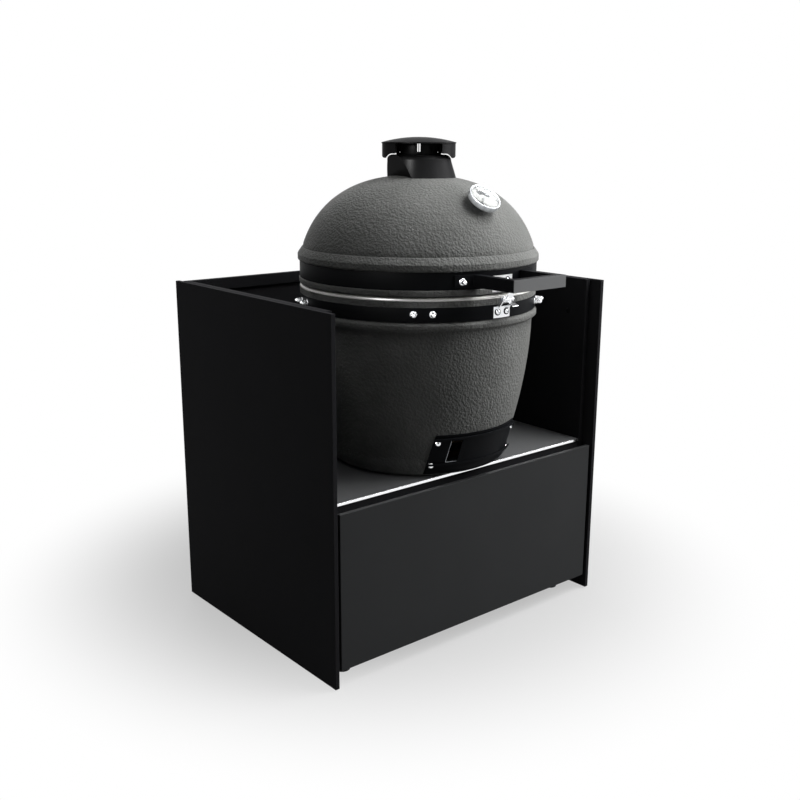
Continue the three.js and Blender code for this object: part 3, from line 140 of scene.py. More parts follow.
class ShellSizes(PropertyGroup):
    """Outline of the ceramic base and dome: radii about the axis, heights above the shelf."""

    foot_radius: length("Foot radius", "Where the line of the bowl's side meets the shelf", 228.9)
    top_radius: length("Top radius", "Bowl under its bead", 297.5)
    bowl_height: length("Bowl height", "Height at which the bowl's curve ends", 373.6)
    fullness: number("Fullness", "Power of the bowl's curve", 1.8)
    contact_radius: length("Contact radius", "Flat ring that the bowl stands on", 212)
    corner_height: length("Corner height", "Height of the rounded foot", 48)
    wall: length("Wall", "Thickness of the ceramic", 28)
    floor_height: length("Floor", "Thickness of the bowl's floor", 33)
    bead_radius: length("Bead radius", "Bead round the base", 309)
    bead_low: length("Bead bottom", "Lower edge of the base's bead", 382.2)
    bead_high: length("Bead top", "Upper edge of the base's bead", 397.6)
    rim_radius: length("Rim radius", "Rims of base and dome", 306)
    rim_top: length("Rim top", "Top of the base", 461)
    rim_shoulder: length("Rim shoulder", "Height of the slope round the rim's top", 7)
    rim_ease: length("Rim edge", "Rounding of the beads and rims", 3)
    # The near-white shoulder above the seam is a painted highlight
    rim_seam: length("Rim seam", "Glaze stops this far below the ground shoulder", 1.4)
    rim_ledge: length("Rim ledge", "Dome's rim stands out under its band", 1.5)
    dome_bottom: length("Dome bottom", "Lowest edge of the dome", 463.6)
    dome_radius: length("Dome radius", "Half width of the dome's curve", 314.3)
    dome_rise: length("Dome rise", "Height of the dome's curve", 308.9)
    dome_centre: length("Dome centre", "Height of the curve's centre", 422.4)
    dome_power: number("Dome power", "Squareness of the curve", 2.46)
    dome_inner: length("Inner radius", "Half width of the dome's inside", 276)
    crown_bead_low: length("Dome bead bottom", "Lower edge of the dome's bead", 519.9)
    crown_bead_high: length("Dome bead top", "Upper edge of the dome's bead", 539.1)
    crown_bead_radius: length("Dome bead radius", "Bead round the dome", 310.5)
    junction: length("Junction", "Where the dome's curve leaves its bead", 555.6)
    flue_radius: length("Flue radius", "Round hole at the dome's top", 46)
    groove_inner: length("Groove radius", "Inner radius of the gaskets' grooves", 281)
    groove_width: length("Groove width", "Width of the gaskets' grooves", 16)
    groove_depth: length("Groove depth", "Depth of the gaskets' grooves", 2.5)


class BandSizes(PropertyGroup):
    """Steel bands round the rims, and what is bolted to them."""

    thickness: length("Band thickness", "Thickness of both bands", 3)
    lower_bottom: length("Lower band", "Bottom of the lower band above the shelf", 403.4)
    lower_height: length("Lower height", "Height of the lower band", 34.7)
    upper_bottom: length("Upper band", "Bottom of the upper band above the shelf", 478.2)
    upper_height: length("Upper height", "Height of the upper band", 41.4)
    edge: length("Band edge", "Rounding of the bands' edges", 0.9)
    nut_across: length("Nut across", "Half width of a dome nut across its corners", 6.8)
    nut_height: length("Nut height", "Height of the nut's hexagon", 7)
    nut_dome: length("Nut dome", "Radius of the nut's dome", 5.6)
    nut_reach: length("Nut reach", "How far a dome nut stands out", 20)
    washer_radius: length("Washer", "Radius of the washer under a nut", 8)
    washer_height: length("Washer height", "Thickness of the washer", 1.6)


class HandleSizes(PropertyGroup):
    """Handle: a bar on two arms with flanges on the upper band."""

    reach: length("Handle reach", "Front face of the bar from the kamado's axis", 428)
    width: length("Handle width", "Width over both arms", 174)
    bar_height: length("Bar height", "Height of bar and arms", 29)
    bar_depth: length("Bar depth", "Depth of the bar and width of the arms", 21)
    bottom: length("Handle bottom", "Lower face above the shelf", 483.8)
    edge: length("Handle edge", "Rounding of the handle's edges", 1.2)
    # The plate on the bar's front is painted light: its grey stands for the light on the black bar's front
    # face
    face: length("Face", "Thickness of the plate on the bar's front", 1.2)
    flange: length("Flange", "Thickness of the flanges", 4)
    flange_near: angle("Flange near", "Where a flange starts from the front", 14.5)
    flange_far: angle("Flange far", "Where a flange ends from the front", 25)


class VentSizes(PropertyGroup):
    """Chimney, slotted collar and rain cap."""

    base_radius: length("Chimney foot", "Radius of the chimney at the dome", 95)
    top_radius: length("Chimney top", "Radius of the cone's top", 82.5)
    cone_top: length("Cone top", "Height of the cone's top above the shelf", 765.4)
    shoulder: length("Shoulder", "Radius of the chimney's shoulder", 16)
    cast_edge: length("Cast edge", "Rounding of the chimney's edges", 1.2)
    bore_base: length("Bore at the foot", "Radius of the bore at the dome", 47)
    bore_top: length("Bore at the top", "Radius of the bore at the top", 50)
    flat_azimuth: angle("Flat azimuth", "Where the leaning flats face", 106.6)
    flat_low_out: length("Flat foot", "Distance of a flat from the axis at its lower height", 52.7)
    flat_high_out: length("Flat top", "Distance of a flat from the axis at its upper height", 67.7)
    flat_low: length("Flat lower height", "Height of the lower measure", 721.6)
    flat_high: length("Flat upper height", "Height of the upper measure", 772.6)
    collar_radius: length("Collar radius", "Outer radius of the slotted collar", 57)
    collar_wall: length("Collar wall", "Wall of collar and sleeve", 3)
    collar_height: length("Collar height", "Height of the collar", 26.1)
    collar_edge: length("Collar edge", "Rounding of the collar's edges", 0.6)
    slots: IntProperty(name="Slots", description="Slots round the collar", default=6)
    slot_angle: angle("Slot angle", "Width of a slot as an angle", 9)
    slot_lift: length("Slot lift", "Slots above the collar's foot", 1.7)
    slot_height: length("Slot height", "Height of the slots", 22.9)
    clearance: length("Clearance", "Between sleeve and collar", 0.5)
    cap_azimuth: angle("Cap azimuth", "Where the cap's arches face at rest", -41)
    cap_radius: length("Cap radius", "Radius of the crown's rim", 94.5)
    rim_height: length("Rim height", "Height of the crown's rim above the shelf", 811.6)
    rim_thickness: length("Rim thickness", "Thickness of the crown's rim", 3)
    crown_rise: length("Crown rise", "Height of the crown over its rim", 13)
    crown_wall: length("Crown wall", "Thickness of the crown", 6)
    skirt_radius: length("Skirt radius", "Outer radius of the skirt", 93)
    skirt_wall: length("Skirt wall", "Thickness of the skirt", 8)
    skirt_bottom: length("Skirt bottom", "Lower edge of the skirt", 772.8)
    skirt_edge: length("Skirt edge", "Rounding under the skirt", 6)
    arch_half: length("Arch", "Half width of an arch over its bend", 58)
    arch_gap: length("Arch gap", "Between an arch's foot and the chimney's shoulder", 2.6)
    bridge: length("Bridge", "Width of the bridge that holds the spindle", 14)
    bridge_height: length("Bridge height", "Thickness of the bridge", 3.4)
    spindle: length("Spindle", "Radius of the cap's spindle", 4)
    spindle_neck: length("Spindle neck", "Radius of the spindle between bridge and crown", 1.2)
    spindle_collar: length("Spindle collar", "Radius of the spindle's collar", 7)
    spindle_foot: length("Spindle foot", "Height of the spindle's collar", 5)


class GaugeSizes(PropertyGroup):
    """Thermometer on the dome's front, along the surface's normal."""

    height: length("Gauge height", "Where its axis meets the dome above the shelf", 666.4)
    radius: length("Gauge radius", "Outer radius of the case", 41.3)
    standoff: length("Standoff", "Back of the case above the dome", 12.7)
    depth: length("Case depth", "Depth of the case", 14.7)
    bezel: length("Bezel", "Width of the bezel", 5)
    edge: length("Case edge", "Rounding of the case", 2.2)
    back_wall: length("Back wall", "Thickness of the case's back", 5)
    dial_thickness: length("Dial", "Thickness of the dial plate", 1)
    lens_thickness: length("Lens", "Thickness of the lens", 1.5)
    lens_recess: length("Lens recess", "Lens below the bezel's face", 1.3)
    needle_length: length("Pointer length", "From the hub to the tip", 27)
    needle_tail: length("Pointer tail", "From the hub to the tail's end", 8)
    needle_width: length("Pointer width", "Widest part of the pointer", 3.2)
    sweep_start: angle("Sweep start", "Cold end of the scale, left of the dial's top", 140)
    sweep: angle("Sweep", "Whole turn of the pointer", 260)
    boss_radius: length("Boss radius", "Nut between the dome and the case", 11)
    boss_height: length("Boss height", "Height of that nut", 11)
    stem_radius: length("Stem radius", "Stem through the dome", 5)
    stem_length: length("Stem length", "Stem inside the dome", 50)
    probe_radius: length("Probe radius", "Probe below the stem", 3)
    probe_length: length("Probe length", "Lowest point of the probe", 100)


class DraftSizes(PropertyGroup):
    """Draft door: a plate that follows the bowl, its window, rails and slider."""

    thickness: length("Frame thickness", "Thickness of the plate on the bowl", 3)
    seat: length("Seat", "Space between plate and bowl", 0.3)
    half_angle: number("Half angle", "Half span at the window's top, degrees", 31.4)
    flare: number("Flare", "Share by which the door widens for each metre down", 1.9)
    bottom: length("Frame bottom", "Lower edge above the shelf", 8)
    top: length("Frame top", "Upper edge above the shelf", 116)
    window_left: number("Window left", "Left edge, degrees", -21.5)
    window_right: number("Window right", "Right edge, degrees", 2.0)
    window_low: length("Window bottom", "Lower edge of the window", 41.6)
    window_high: length("Window top", "Upper edge of the window", 99.6)
    slider_left: number("Slider left", "Left end, degrees", -15.3)
    slider_right: number("Slider right", "Right end, degrees", 15.8)
    slider_thickness: length("Slider thickness", "Thickness of the slider", 2.5)
    clearance: length("Clearance", "Between the slider and its rails", 1)
    overlap: length("Overlap", "Slider over the window's edges", 4)
    rail: length("Rail", "Thickness of the rails", 1.5)
    rail_lip: length("Rail lip", "How far a rail covers the slider", 2.5)
    rail_root: length("Rail root", "Rail beyond the slider's edge", 4)
    margin: length("Margin", "Ceramic stands back from the window", 3)
    screw_head: length("Screw head", "Radius of a button-head screw", 7.2)
    screw_dome: length("Screw dome", "Height of the screw's head", 3.2)
    screw_socket: length("Screw socket", "Half width of the hexagon socket", 2)
    edge: length("Plate edge", "Rounding of the plate's edges", 0.6)
    # The window's bright edges are painted highlight where its left and lower edges catch the light
    highlight_side: length("Window side edge", "Radius of the window's bright side edge", 0.45)
    highlight_sill: length("Window sill edge", "Radius of the window's bright lower edge", 0.7)


class LatchSizes(PropertyGroup):
    """Chrome latch on the front of the bands."""

    barrel_radius: length("Barrel radius", "Barrel round the latch's pin", 8)
    barrel_length: length("Barrel length", "Length of the barrel", 30)
    barrel_edge: length("Barrel edge", "Rounding of the barrel's edges", 0.8)
    bore: length("Barrel bore", "Radius of the barrel's bore", 3.5)
    arm_width: length("Arm width", "Width of the hook's arm", 20)
    arm_thickness: length("Arm thickness", "Thickness of the hook's arm", 3.5)
    arm_standoff: length("Arm standoff", "Arm in front of the pin's axis", 4)
    arm_reach: length("Arm reach", "Nose above the pin's axis", 26.2)
    nose: length("Nose", "Nose behind the pin's axis", 2)
    tab_length: length("Tab length", "Length of the thumb tab", 24)
    tab_thickness: length("Tab thickness", "Thickness of the thumb tab", 3)
    released: angle("Released", "How far the hook leans forward at rest", 25)
    bolt_spacing: length("Bolt spacing", "Between the two bolts of a plate", 29)
    plate_thickness: length("Plate thickness", "Thickness of both latch plates", 3)
    bracket_bolts: length("Bracket's bolts", "Above the lower plate's foot", 14)
    catch_bolts: length("Catch's bolts", "Below the upper plate's top", 12)
    bolt_head: length("Bolt head", "Radius of the bolts' heads", 6.2)
    # The black washers are painted shade: the dark ring of shade round each bolt head
    shade_ring_radius: length("Bolt washer", "Radius of the black washers under the heads", 8.2)
    bolt_dome: length("Bolt dome", "Height of the bolts' heads", 4)
    bolt_socket: length("Bolt socket", "Half width of the hexagon socket", 2.4)


class HingeSizes(PropertyGroup):
    """Rear hinge: pin and torsion springs."""

    pin_radius: length("Pin radius", "Radius of the hinge pin", 6)
    head_radius: length("Head radius", "Radius of the pin's heads", 10)
    head_length: length("Head length", "Length of a pin's head", 5)
    pin_edge: length("Pin edge", "Rounding of the pin and its heads", 1.2)
    wire: length("Wire", "Radius of the spring wire", 1.95)
    coil: length("Coil", "Radius of the coil's middle line", 9.2)
    turns: number("Turns", "Turns of a spring", 5.5)
    pitch: length("Pitch", "Spring's length for each turn", 5)
    start: length("Start", "Spring's first turn from the middle", 14)


class Finishes(PropertyGroup):
    """Colours of the finishes."""

    panel: colour("Panels", "Black powder coat of the side and back panels", "29292b")
    drawer: colour("Drawer", "Powder coat of the drawer's front", "28292a")
    carcass: colour("Carcass", "Powder coat of the inner walls", "252527")
    shelf: colour("Shelf", "Powder coat of the shelf", "5d5e5f")
    glaze: colour("Glaze", "Anthracite glaze of base and dome", "7d7e7c")
    band: colour("Bands", "Satin black of bands, brackets and door", "17181a")
    # The handle's grey front is painted light: the light falling on the black bar's front face
    handle: colour("Handle", "Satin grey plate on the handle's front", "747576")
    casting: colour("Casting", "Satin black paint of the chimney and cap", "2a2a2b")
    felt: colour("Felt", "Grey felt of the gaskets", "8a8c88")
    fireclay: colour("Fireclay", "Unglazed fireclay of the fire bowl", "b49a78")
    floor: colour("Floor", "Pale studio floor", "a8a8a8")


class StudioSizes(PropertyGroup):
    """Camera, lamps and floor."""

    lens: FloatProperty(name="Lens", description="Focal length", default=44.965, unit="CAMERA")
    heading: angle("Heading", "How far the camera turns right from straight ahead", 39.944)
    tilt: angle("Tilt", "How far the camera looks down", 14.273)
    roll: angle("Roll", "Camera's roll", 0.222)
    place: FloatVectorProperty(
        name="Camera", description="Where the camera stands", size=3, subtype="TRANSLATION",
        default=(-1.7068, -1.9828, 1.2539), unit="LENGTH"
    )
    key_power: watts("Key", "High lamp, right", 64.0)
    side_power: watts("Side", "Low lamp, right", 46.0)
    front_power: watts("Front", "Lamp in front", 26.0)
    left_power: watts("Left", "High lamp, left", 11.0)
    back_power: watts("Back", "Lamp behind", 22.0)
    strip_power: watts("Strip", "Edge light, left", 150.0)
    strip_width: length("Strip width", "Width of the edge light", 700)
    strip_height: length("Strip height", "Height of the edge light", 900)
    lamp_distance: length("Lamp distance", "From the lamps to the object", 3000)
    lamp_size: length("Lamp size", "Side of each square lamp", 1400)
    ambient: number("Ambient", "Light from all round", 0.01)


def add(tree, kind, inputs=None, **settings):
    """Adds a node with its settings, and sets or links its inputs."""
    node = tree.nodes.new(kind)
    for key, value in settings.items():
        setattr(node, key, value)
    for key, value in (inputs or {}).items():
        if isinstance(value, bpy.types.NodeSocket):
            tree.links.new(value, node.inputs[key])
        else:
            node.inputs[key].default_value = value
    return node


def rgba(tone, share=1.0):
    """A colour, sRGB hex or linear, with an alpha, and darker or lighter by a share."""
    channels = linear(tone) if isinstance(tone, str) else tone
    return [min(1.0, channel * share) for channel in channels[:3]] + [1.0]


def between(tone, darker, lighter):
    """Two colours to run between: shares of one tone."""
    return rgba(tone, darker), rgba(tone, lighter)


def begin(name, **shader):
    """A material with its shader, and the place on the object in metres."""
    material = bpy.data.materials.new(name)
    material.use_nodes = True
    tree = material.node_tree
    tree.nodes.clear()
    place = add(tree, "ShaderNodeTexCoord").outputs["Object"]
    inputs = {key.replace("_", " "): value for key, value in shader.items()}
    surface = add(tree, "ShaderNodeBsdfPrincipled", inputs)
    add(tree, "ShaderNodeOutputMaterial", {"Surface": surface.outputs["BSDF"]})
    return material, tree, place, surface


def tint(tree, surface, low, high, factor):
    """Lets the base colour run between two colours."""
    mix = add(tree, "ShaderNodeMix", {"Factor": factor, 6: low, 7: high}, data_type="RGBA")
    tree.links.new(mix.outputs[2], surface.inputs["Base Color"])


def spread(tree, surface, socket, factor, low, high):
    """Lets a value of the shader run between two numbers."""
    inputs = {"Value": factor, "To Min": low, "To Max": high}
    tree.links.new(add(tree, "ShaderNodeMapRange", inputs).outputs["Result"], surface.inputs[socket])


def relief(tree, surface, height, depth, strength=1.0):
    """Raises the surface by a pattern of real depth in metres."""
    inputs = {"Height": height, "Distance": depth, "Strength": strength}
    bump = add(tree, "ShaderNodeBump", inputs)
    tree.links.new(bump.outputs["Normal"], surface.inputs["Normal"])


def per_metre(millimetres):
    """Texture scale of a pattern whose grain is so many millimetres."""
    return 1.0 / (millimetres * MM)


def seen_directly(tree):
    """One for what the camera, gloss or glass sees, and zero for all other light."""
    rays = add(tree, "ShaderNodeLightPath")
    seen = rays.outputs["Is Camera Ray"]
    for way in ("Is Glossy Ray", "Is Transmission Ray"):
        either = add(tree, "ShaderNodeMath", {0: seen, 1: rays.outputs[way]}, operation="MAXIMUM")
        seen = either.outputs[0]
    return seen


def mottled(name, tones, slow, fine, sheen=None, depth=None, **shader):
    """A finish whose colour runs with a slow pattern, and its sheen and relief with a fine one.

    A pattern is the width of its grain in millimetres and its detail. Sheen is the least and the
    most roughness, and depth is the relief's height in metres and its strength.
    """
    material, tree, place, surface = begin(name, **shader)
    cloud, grain = [
        add(tree, "ShaderNodeTexNoise", {"Vector": place, "Scale": per_metre(width), "Detail": detail})
        for width, detail in (slow, fine)
    ]
    tint(tree, surface, *tones, cloud.outputs["Fac"])
    if sheen:
        spread(tree, surface, "Roughness", grain.outputs["Fac"], *sheen)
    if depth:
        relief(tree, surface, grain.outputs["Fac"], *depth)
    return material


def powder_coated(name, tone, roughness, gloss):
    """Polyester powder sprayed on folded sheet and baked: it melts into a fine leathery grain."""
    # Real grain is about 0.3 mm; it is drawn at 1.6 mm so that it shows at all.
    # The film is a little thicker in places, which shows as slow clouds
    return mottled(
        name, between(tone, 0.84, 1.16), (190, 4.0), (1.6, 3.0),
        (roughness - 0.08, roughness + 0.08), (0.12 * MM, 0.6),
        Roughness=roughness, Specular_IOR_Level=gloss
    )


def orange_peel_glaze(name, tone):
    """Stoneware glaze fired over a sprayed coat: it pulls up into small soft cushions."""
    # Cushions are 7 mm wide with fine pits between them
    material, tree, place, surface = begin(name, Roughness=0.5, Specular_IOR_Level=0.014)
    warp = add(tree, "ShaderNodeTexNoise", {"Vector": place, "Scale": per_metre(9), "Detail": 1.0})
    bend = add(
        tree, "ShaderNodeVectorMath", {0: warp.outputs["Color"], "Scale": 5 * MM}, operation="SCALE"
    )
    moved = add(tree, "ShaderNodeVectorMath", {0: place, 1: bend.outputs[0]}, operation="ADD")
    cushion = add(
        tree, "ShaderNodeTexVoronoi",
        {"Vector": moved.outputs[0], "Scale": per_metre(7), "Smoothness": 0.6}, feature="SMOOTH_F1"
    )
    pits = add(tree, "ShaderNodeTexNoise", {"Vector": place, "Scale": per_metre(4), "Detail": 2.0})
    height = add(
        tree, "ShaderNodeMath", {0: cushion.outputs["Distance"], 1: -1.0, 2: pits.outputs["Fac"]},
        operation="MULTIPLY_ADD"
    )
    relief(tree, surface, height.outputs[0], 2.2 * MM, 0.8)
    cloud = add(tree, "ShaderNodeTexNoise", {"Vector": place, "Scale": per_metre(110), "Detail": 5.0})
    speck = add(tree, "ShaderNodeTexNoise", {"Vector": place, "Scale": per_metre(1.8), "Detail": 1.0})
    # Fine specks of iron, and slow clouds where the glaze lies thicker
    mixed = add(
        tree, "ShaderNodeMath", {0: speck.outputs["Fac"], 1: 0.6, 2: cloud.outputs["Fac"]},
        operation="MULTIPLY_ADD"
    )
    share = add(
        tree, "ShaderNodeMapRange", {"Value": mixed.outputs[0], "From Min": 0.5, "From Max": 1.1}
    )
    tint(tree, surface, *between(tone, 0.78, 1.18), share.outputs["Result"])
    spread(tree, surface, "Roughness", speck.outputs["Fac"], 0.34, 0.52)
    return material


def needled_felt(name, tone):
    """Aramid felt, needled and glued down: short pale fibres catch the light."""
    # Fibres of 0.02 mm are drawn as tufts of 1.2 mm so that they show
    tuft = (1.2, 6.0)
    return mottled(
        name, between(tone, 0.6, 1.3), tuft, tuft, depth=(0.9 * MM, 0.8),
        Roughness=0.95, Specular_IOR_Level=0.1, Sheen_Weight=0.5, Sheen_Roughness=0.6
    )


def rim_highlight_finish(name, tone):
    """A ground rim shoulder, drawn near-white as a painted highlight where the light catches it, with the
    wheel's fine grain.
    """
    # Grinding marks of 0.3 mm are drawn at 1.5 mm so that they show
    return mottled(
        name, between(tone, 0.88, 1.04), (35, 4.0), (1.5, 4.0), (0.22, 0.38), (0.1 * MM, 0.5),
        Roughness=0.3, Specular_IOR_Level=0.9
    )


def painted_casting(name, tone):
    """Cast iron from a sand mould under satin heat paint: the sand's grain shows through."""
    # Sand grains of 1 mm are drawn at 2.2 mm so that they show, with slow waves behind them.
    # A low specular level under a strong tint gives a highlight without a grey sheen at the edges
    return mottled(
        name, between(tone, 0.8, 1.2), (60, 2.0), (2.2, 4.0), (0.26, 0.36), (0.15 * MM, 0.5),
        Roughness=0.3, Specular_IOR_Level=0.003, Specular_Tint=(14.0, 14.0, 14.0, 1.0)
    )


def polished_chrome(name):
    """Chrome plated over polished steel: a clear mirror with faint handling marks."""
    smudge = (9, 5.0)
    tones = rgba("dfe1e4"), rgba("f0f1f2")
    return mottled(name, tones, smudge, smudge, (0.14, 0.3), Metallic=1.0, Roughness=0.2)


def satin_stainless(name):
    """Stainless steel, turned or drawn and left satin: soft streaks, no mirror."""
    # Tool marks of 0.2 mm are drawn at 1.2 mm so that they show
    return mottled(
        name, (rgba("b9bcc0"), rgba("d6d8da")), (30, 3.0), (1.2, 4.0), (0.2, 0.36), (0.05 * MM, 0.4),
        Metallic=1.0, Roughness=0.28
    )


def brushed_aluminium(name):
    """Aluminium strip brushed along its length and anodised: bright with long fine lines."""
    # Brush lines of 0.1 mm are drawn at 0.7 mm, and fifty times as long as wide
    material, tree, place, surface = begin(name, Metallic=1.0, Roughness=0.14)
    stretch = add(tree, "ShaderNodeMapping", {"Vector": place, "Scale": (0.02, 1.0, 1.0)})
    lines = add(
        tree, "ShaderNodeTexNoise", {"Vector": stretch.outputs[0], "Scale": per_metre(0.7), "Detail": 3.0}
    )
    tint(tree, surface, rgba("f4f6f8"), rgba("fdfdfe"), lines.outputs["Fac"])
    spread(tree, surface, "Roughness", lines.outputs["Fac"], 0.1, 0.2)
    relief(tree, surface, lines.outputs["Fac"], 0.01 * MM, 0.3)
    return material


def zinc_plated(name):
    """Sheet steel rolled, punched and zinc plated: cool grey with a faint bloom."""
    # Zinc crystals 7 mm wide, and scuffs from the press
    material, tree, place, surface = begin(name, Metallic=1.0, Roughness=0.34)
    bloom = add(tree, "ShaderNodeTexVoronoi", {"Vector": place, "Scale": per_metre(7)})
    scuff = add(tree, "ShaderNodeTexNoise", {"Vector": place, "Scale": per_metre(3), "Detail": 5.0})
    tint(tree, surface, rgba("8d9196"), rgba("b4b8bc"), bloom.outputs["Color"])
    spread(tree, surface, "Roughness", scuff.outputs["Fac"], 0.26, 0.46)
    return material


def bright_zinc(name):
    """Pressed steel, plated with matt white zinc: it scatters more light than it mirrors."""
    bloom = (5, 5.0)
    tones = rgba("eceded"), rgba("fbfbfb")
    return mottled(name, tones, bloom, bloom, (0.4, 0.6), Metallic=0.35, Roughness=0.5)


def moulded_rubber(name):
    """Black rubber, moulded: dull, with the mould's fine etch."""
    # An etch of 0.1 mm is drawn at 1 mm so that it shows
    etch = (1.0, 3.0)
    return mottled(
        name, (rgba("101112"), rgba("1d1e1f")), etch, etch, depth=(0.1 * MM, 0.5),
        Roughness=0.75, Specular_IOR_Level=0.3
    )


def pressed_fireclay(name, tone):
    """Fireclay pressed and fired without glaze: buff, open and grainy, sooted in clouds."""
    material, tree, place, surface = begin(name, Roughness=0.92, Specular_IOR_Level=0.2)
    grog = add(tree, "ShaderNodeTexNoise", {"Vector": place, "Scale": per_metre(2.5), "Detail": 6.0})
    soot = add(tree, "ShaderNodeTexNoise", {"Vector": place, "Scale": per_metre(90), "Detail": 5.0})
    stain = add(
        tree, "ShaderNodeMapRange", {"Value": soot.outputs["Fac"], "From Min": 0.42, "From Max": 0.68}
    )
    mixed = add(
        tree, "ShaderNodeMath", {0: grog.outputs["Fac"], 1: 0.35, 2: stain.outputs["Result"]},
        operation="MULTIPLY_ADD", use_clamp=True
    )
    tint(tree, surface, rgba(tone, 1.05), rgba(tone, 0.55), mixed.outputs[0])
    relief(tree, surface, grog.outputs["Fac"], 0.6 * MM, 0.7)
    return material


def raw_casting(name):
    """Bare grey iron from a sand mould: dark, coarse, with brown bloom from heat."""
    # Sand grains of 1 mm are drawn at 2 mm so that they show
    return mottled(
        name, (rgba("2a2a2b"), rgba("4a3c33")), (40, 4.0), (2.0, 5.0), depth=(0.5 * MM, 0.7),
        Roughness=0.72, Metallic=0.6
    )


def baked_enamel(name, tone, roughness):
    """Enamel sprayed on aluminium and baked: even colour, the faintest mottle."""
    mottle = (4, 4.0)
    return mottled(
        name, between(tone, 0.95, 1.02), mottle, mottle, (roughness - 0.06, roughness + 0.06),
        Roughness=roughness, Specular_IOR_Level=0.5
    )


def float_glass(name):
    """Flat glass, polished by its making: clear, with a thin film of dust."""
    material, tree, place, surface = begin(
        name, Base_Color=(0.97, 0.98, 0.98, 1.0), IOR=1.5, Transmission_Weight=1.0
    )
    dust = add(tree, "ShaderNodeTexNoise", {"Vector": place, "Scale": per_metre(12), "Detail": 5.0})
    spread(tree, surface, "Roughness", dust.outputs["Fac"], 0.0, 0.06)
    return material


def blued_spring(name):
    """Drawn spring wire, oil tempered: dark grey with a dull shine along the wire."""
    scale = (3, 5.0)
    tones = rgba("5e6268"), rgba("8a8e93")
    return mottled(name, tones, scale, scale, (0.26, 0.5), Metallic=1.0, Roughness=0.35)


def make_finishes(colours):
    """Makes every material once, under the name of the finish."""
    MADE.update({
        "panel": powder_coated("powder_coated_panel", colours.panel, 0.62, 0.012),
        "drawer": powder_coated("powder_coated_drawer", colours.drawer, 0.55, 0.12),
        "frame": powder_coated("powder_coated_carcass", colours.carcass, 0.6, 0.012),
        "shelf": powder_coated("powder_coated_shelf", colours.shelf, 0.5, 0.2),
        "drawer_steel": powder_coated("powder_coated_drawer_box", "3b3d40", 0.5, 0.2),
        "band": powder_coated("satin_coated_steel", colours.band, 0.45, 0.02),
        # The handle's front plate is grey as painted light on the bar's front face
        "handle": powder_coated("handle_front_painted_light_coat", colours.handle, 0.42, 0.2),
        "trim": brushed_aluminium("brushed_aluminium_trim"),
        "runner": zinc_plated("zinc_plated_runner"),
        "zinc_white": bright_zinc("bright_zinc_plate"),
        "foot": moulded_rubber("moulded_rubber_foot"),
        "ceramic": orange_peel_glaze("orange_peel_glaze", colours.glaze),
        # The rim's near-white shoulder is a painted highlight
        "rim_highlight": rim_highlight_finish("rim_painted_highlight", "fcfaf4"),
        "felt": needled_felt("needled_felt_gasket", colours.felt),
        "chrome": polished_chrome("polished_chrome"),
        "casting": painted_casting("heat_painted_casting", colours.casting),
        "stainless": satin_stainless("satin_stainless_steel"),
        "spring": blued_spring("oil_tempered_spring_wire"),
        "fireclay": pressed_fireclay("pressed_fireclay", colours.fireclay),
        "iron": raw_casting("raw_cast_iron"),
        "dial": baked_enamel("baked_white_enamel", "e4e4e1", 0.45),
        "ink": baked_enamel("printed_dial_ink", "c6c8c9", 0.6),
        # The grey zone's ink also draws the bezel's painted shadow on the dial
        "zone_and_shadow": baked_enamel("printed_zone_and_painted_shadow", "53565a", 0.6),
        "needle": baked_enamel("baked_pale_enamel", "cacbcc", 0.4),
        "glass": float_glass("float_glass_lens"),
    })


def piece_of(name, mesh, sharp=34.0):
    """Makes an object of a mesh, smooth but for edges that turn by more than an angle."""
    # Corners closer together than this, in metres, are one
    same_place = 0.2e-6
    bmesh.ops.remove_doubles(mesh, verts=mesh.verts, dist=same_place)
    bmesh.ops.recalc_face_normals(mesh, faces=mesh.faces)
    for face in mesh.faces:
        face.smooth = True
    for edge in mesh.edges:
        if len(edge.link_faces) == 2:
            edge.smooth = edge.calc_face_angle(0.0) < math.radians(sharp)
    data = bpy.data.meshes.new(name)
    mesh.to_mesh(data)
    mesh.free()
    piece = bpy.data.objects.new(name, data)
    bpy.context.scene.collection.objects.link(piece)
    return piece


def fit(piece, body, finish, slot, *nodes):
    """Gives a piece its finish and body, and says which nodes it stands for."""
    piece.data.materials.append(MADE[finish])
    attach(piece, body)
    if nodes:
        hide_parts(*nodes)
    return piece


def finish_nodes(finish, *names):
    """Gives nodes of the frame that keep their shape a finish."""
    for name in names:
        for slot in NODES[name].material_slots:
            slot.link = "OBJECT"
            slot.material = MADE[finish]


def eased(piece, width, steps=3, least=30.0):
    """Rounds a piece's edges."""
    bevel = piece.modifiers.new("rounded edges", "BEVEL")
    bevel.width = width
    bevel.segments = steps
    bevel.limit_method = "ANGLE"
    bevel.angle_limit = math.radians(least)
    bevel.harden_normals = True
    return piece


def carved(piece, *cutters):
    """Takes the cutters out of a piece for good."""
    for cutter in cutters:
        cut = piece.modifiers.new("cut", "BOOLEAN")
        cut.operation = "DIFFERENCE"
        cut.solver = "EXACT"
        cut.object = cutter
    bpy.context.view_layer.update()
    graph = bpy.context.evaluated_depsgraph_get()
    shaped = bpy.data.meshes.new_from_object(piece.evaluated_get(graph))
    piece.modifiers.clear()
    mesh = bmesh.new()
    mesh.from_mesh(shaped)
    name = piece.name
    for leftover in (piece, *cutters):
        bpy.data.objects.remove(leftover)
    return piece_of(name, mesh)


def run(start, end, steps):
    """Evenly spaced values from start to end, both included."""
    return [start + (end - start) * i / steps for i in range(steps + 1)]


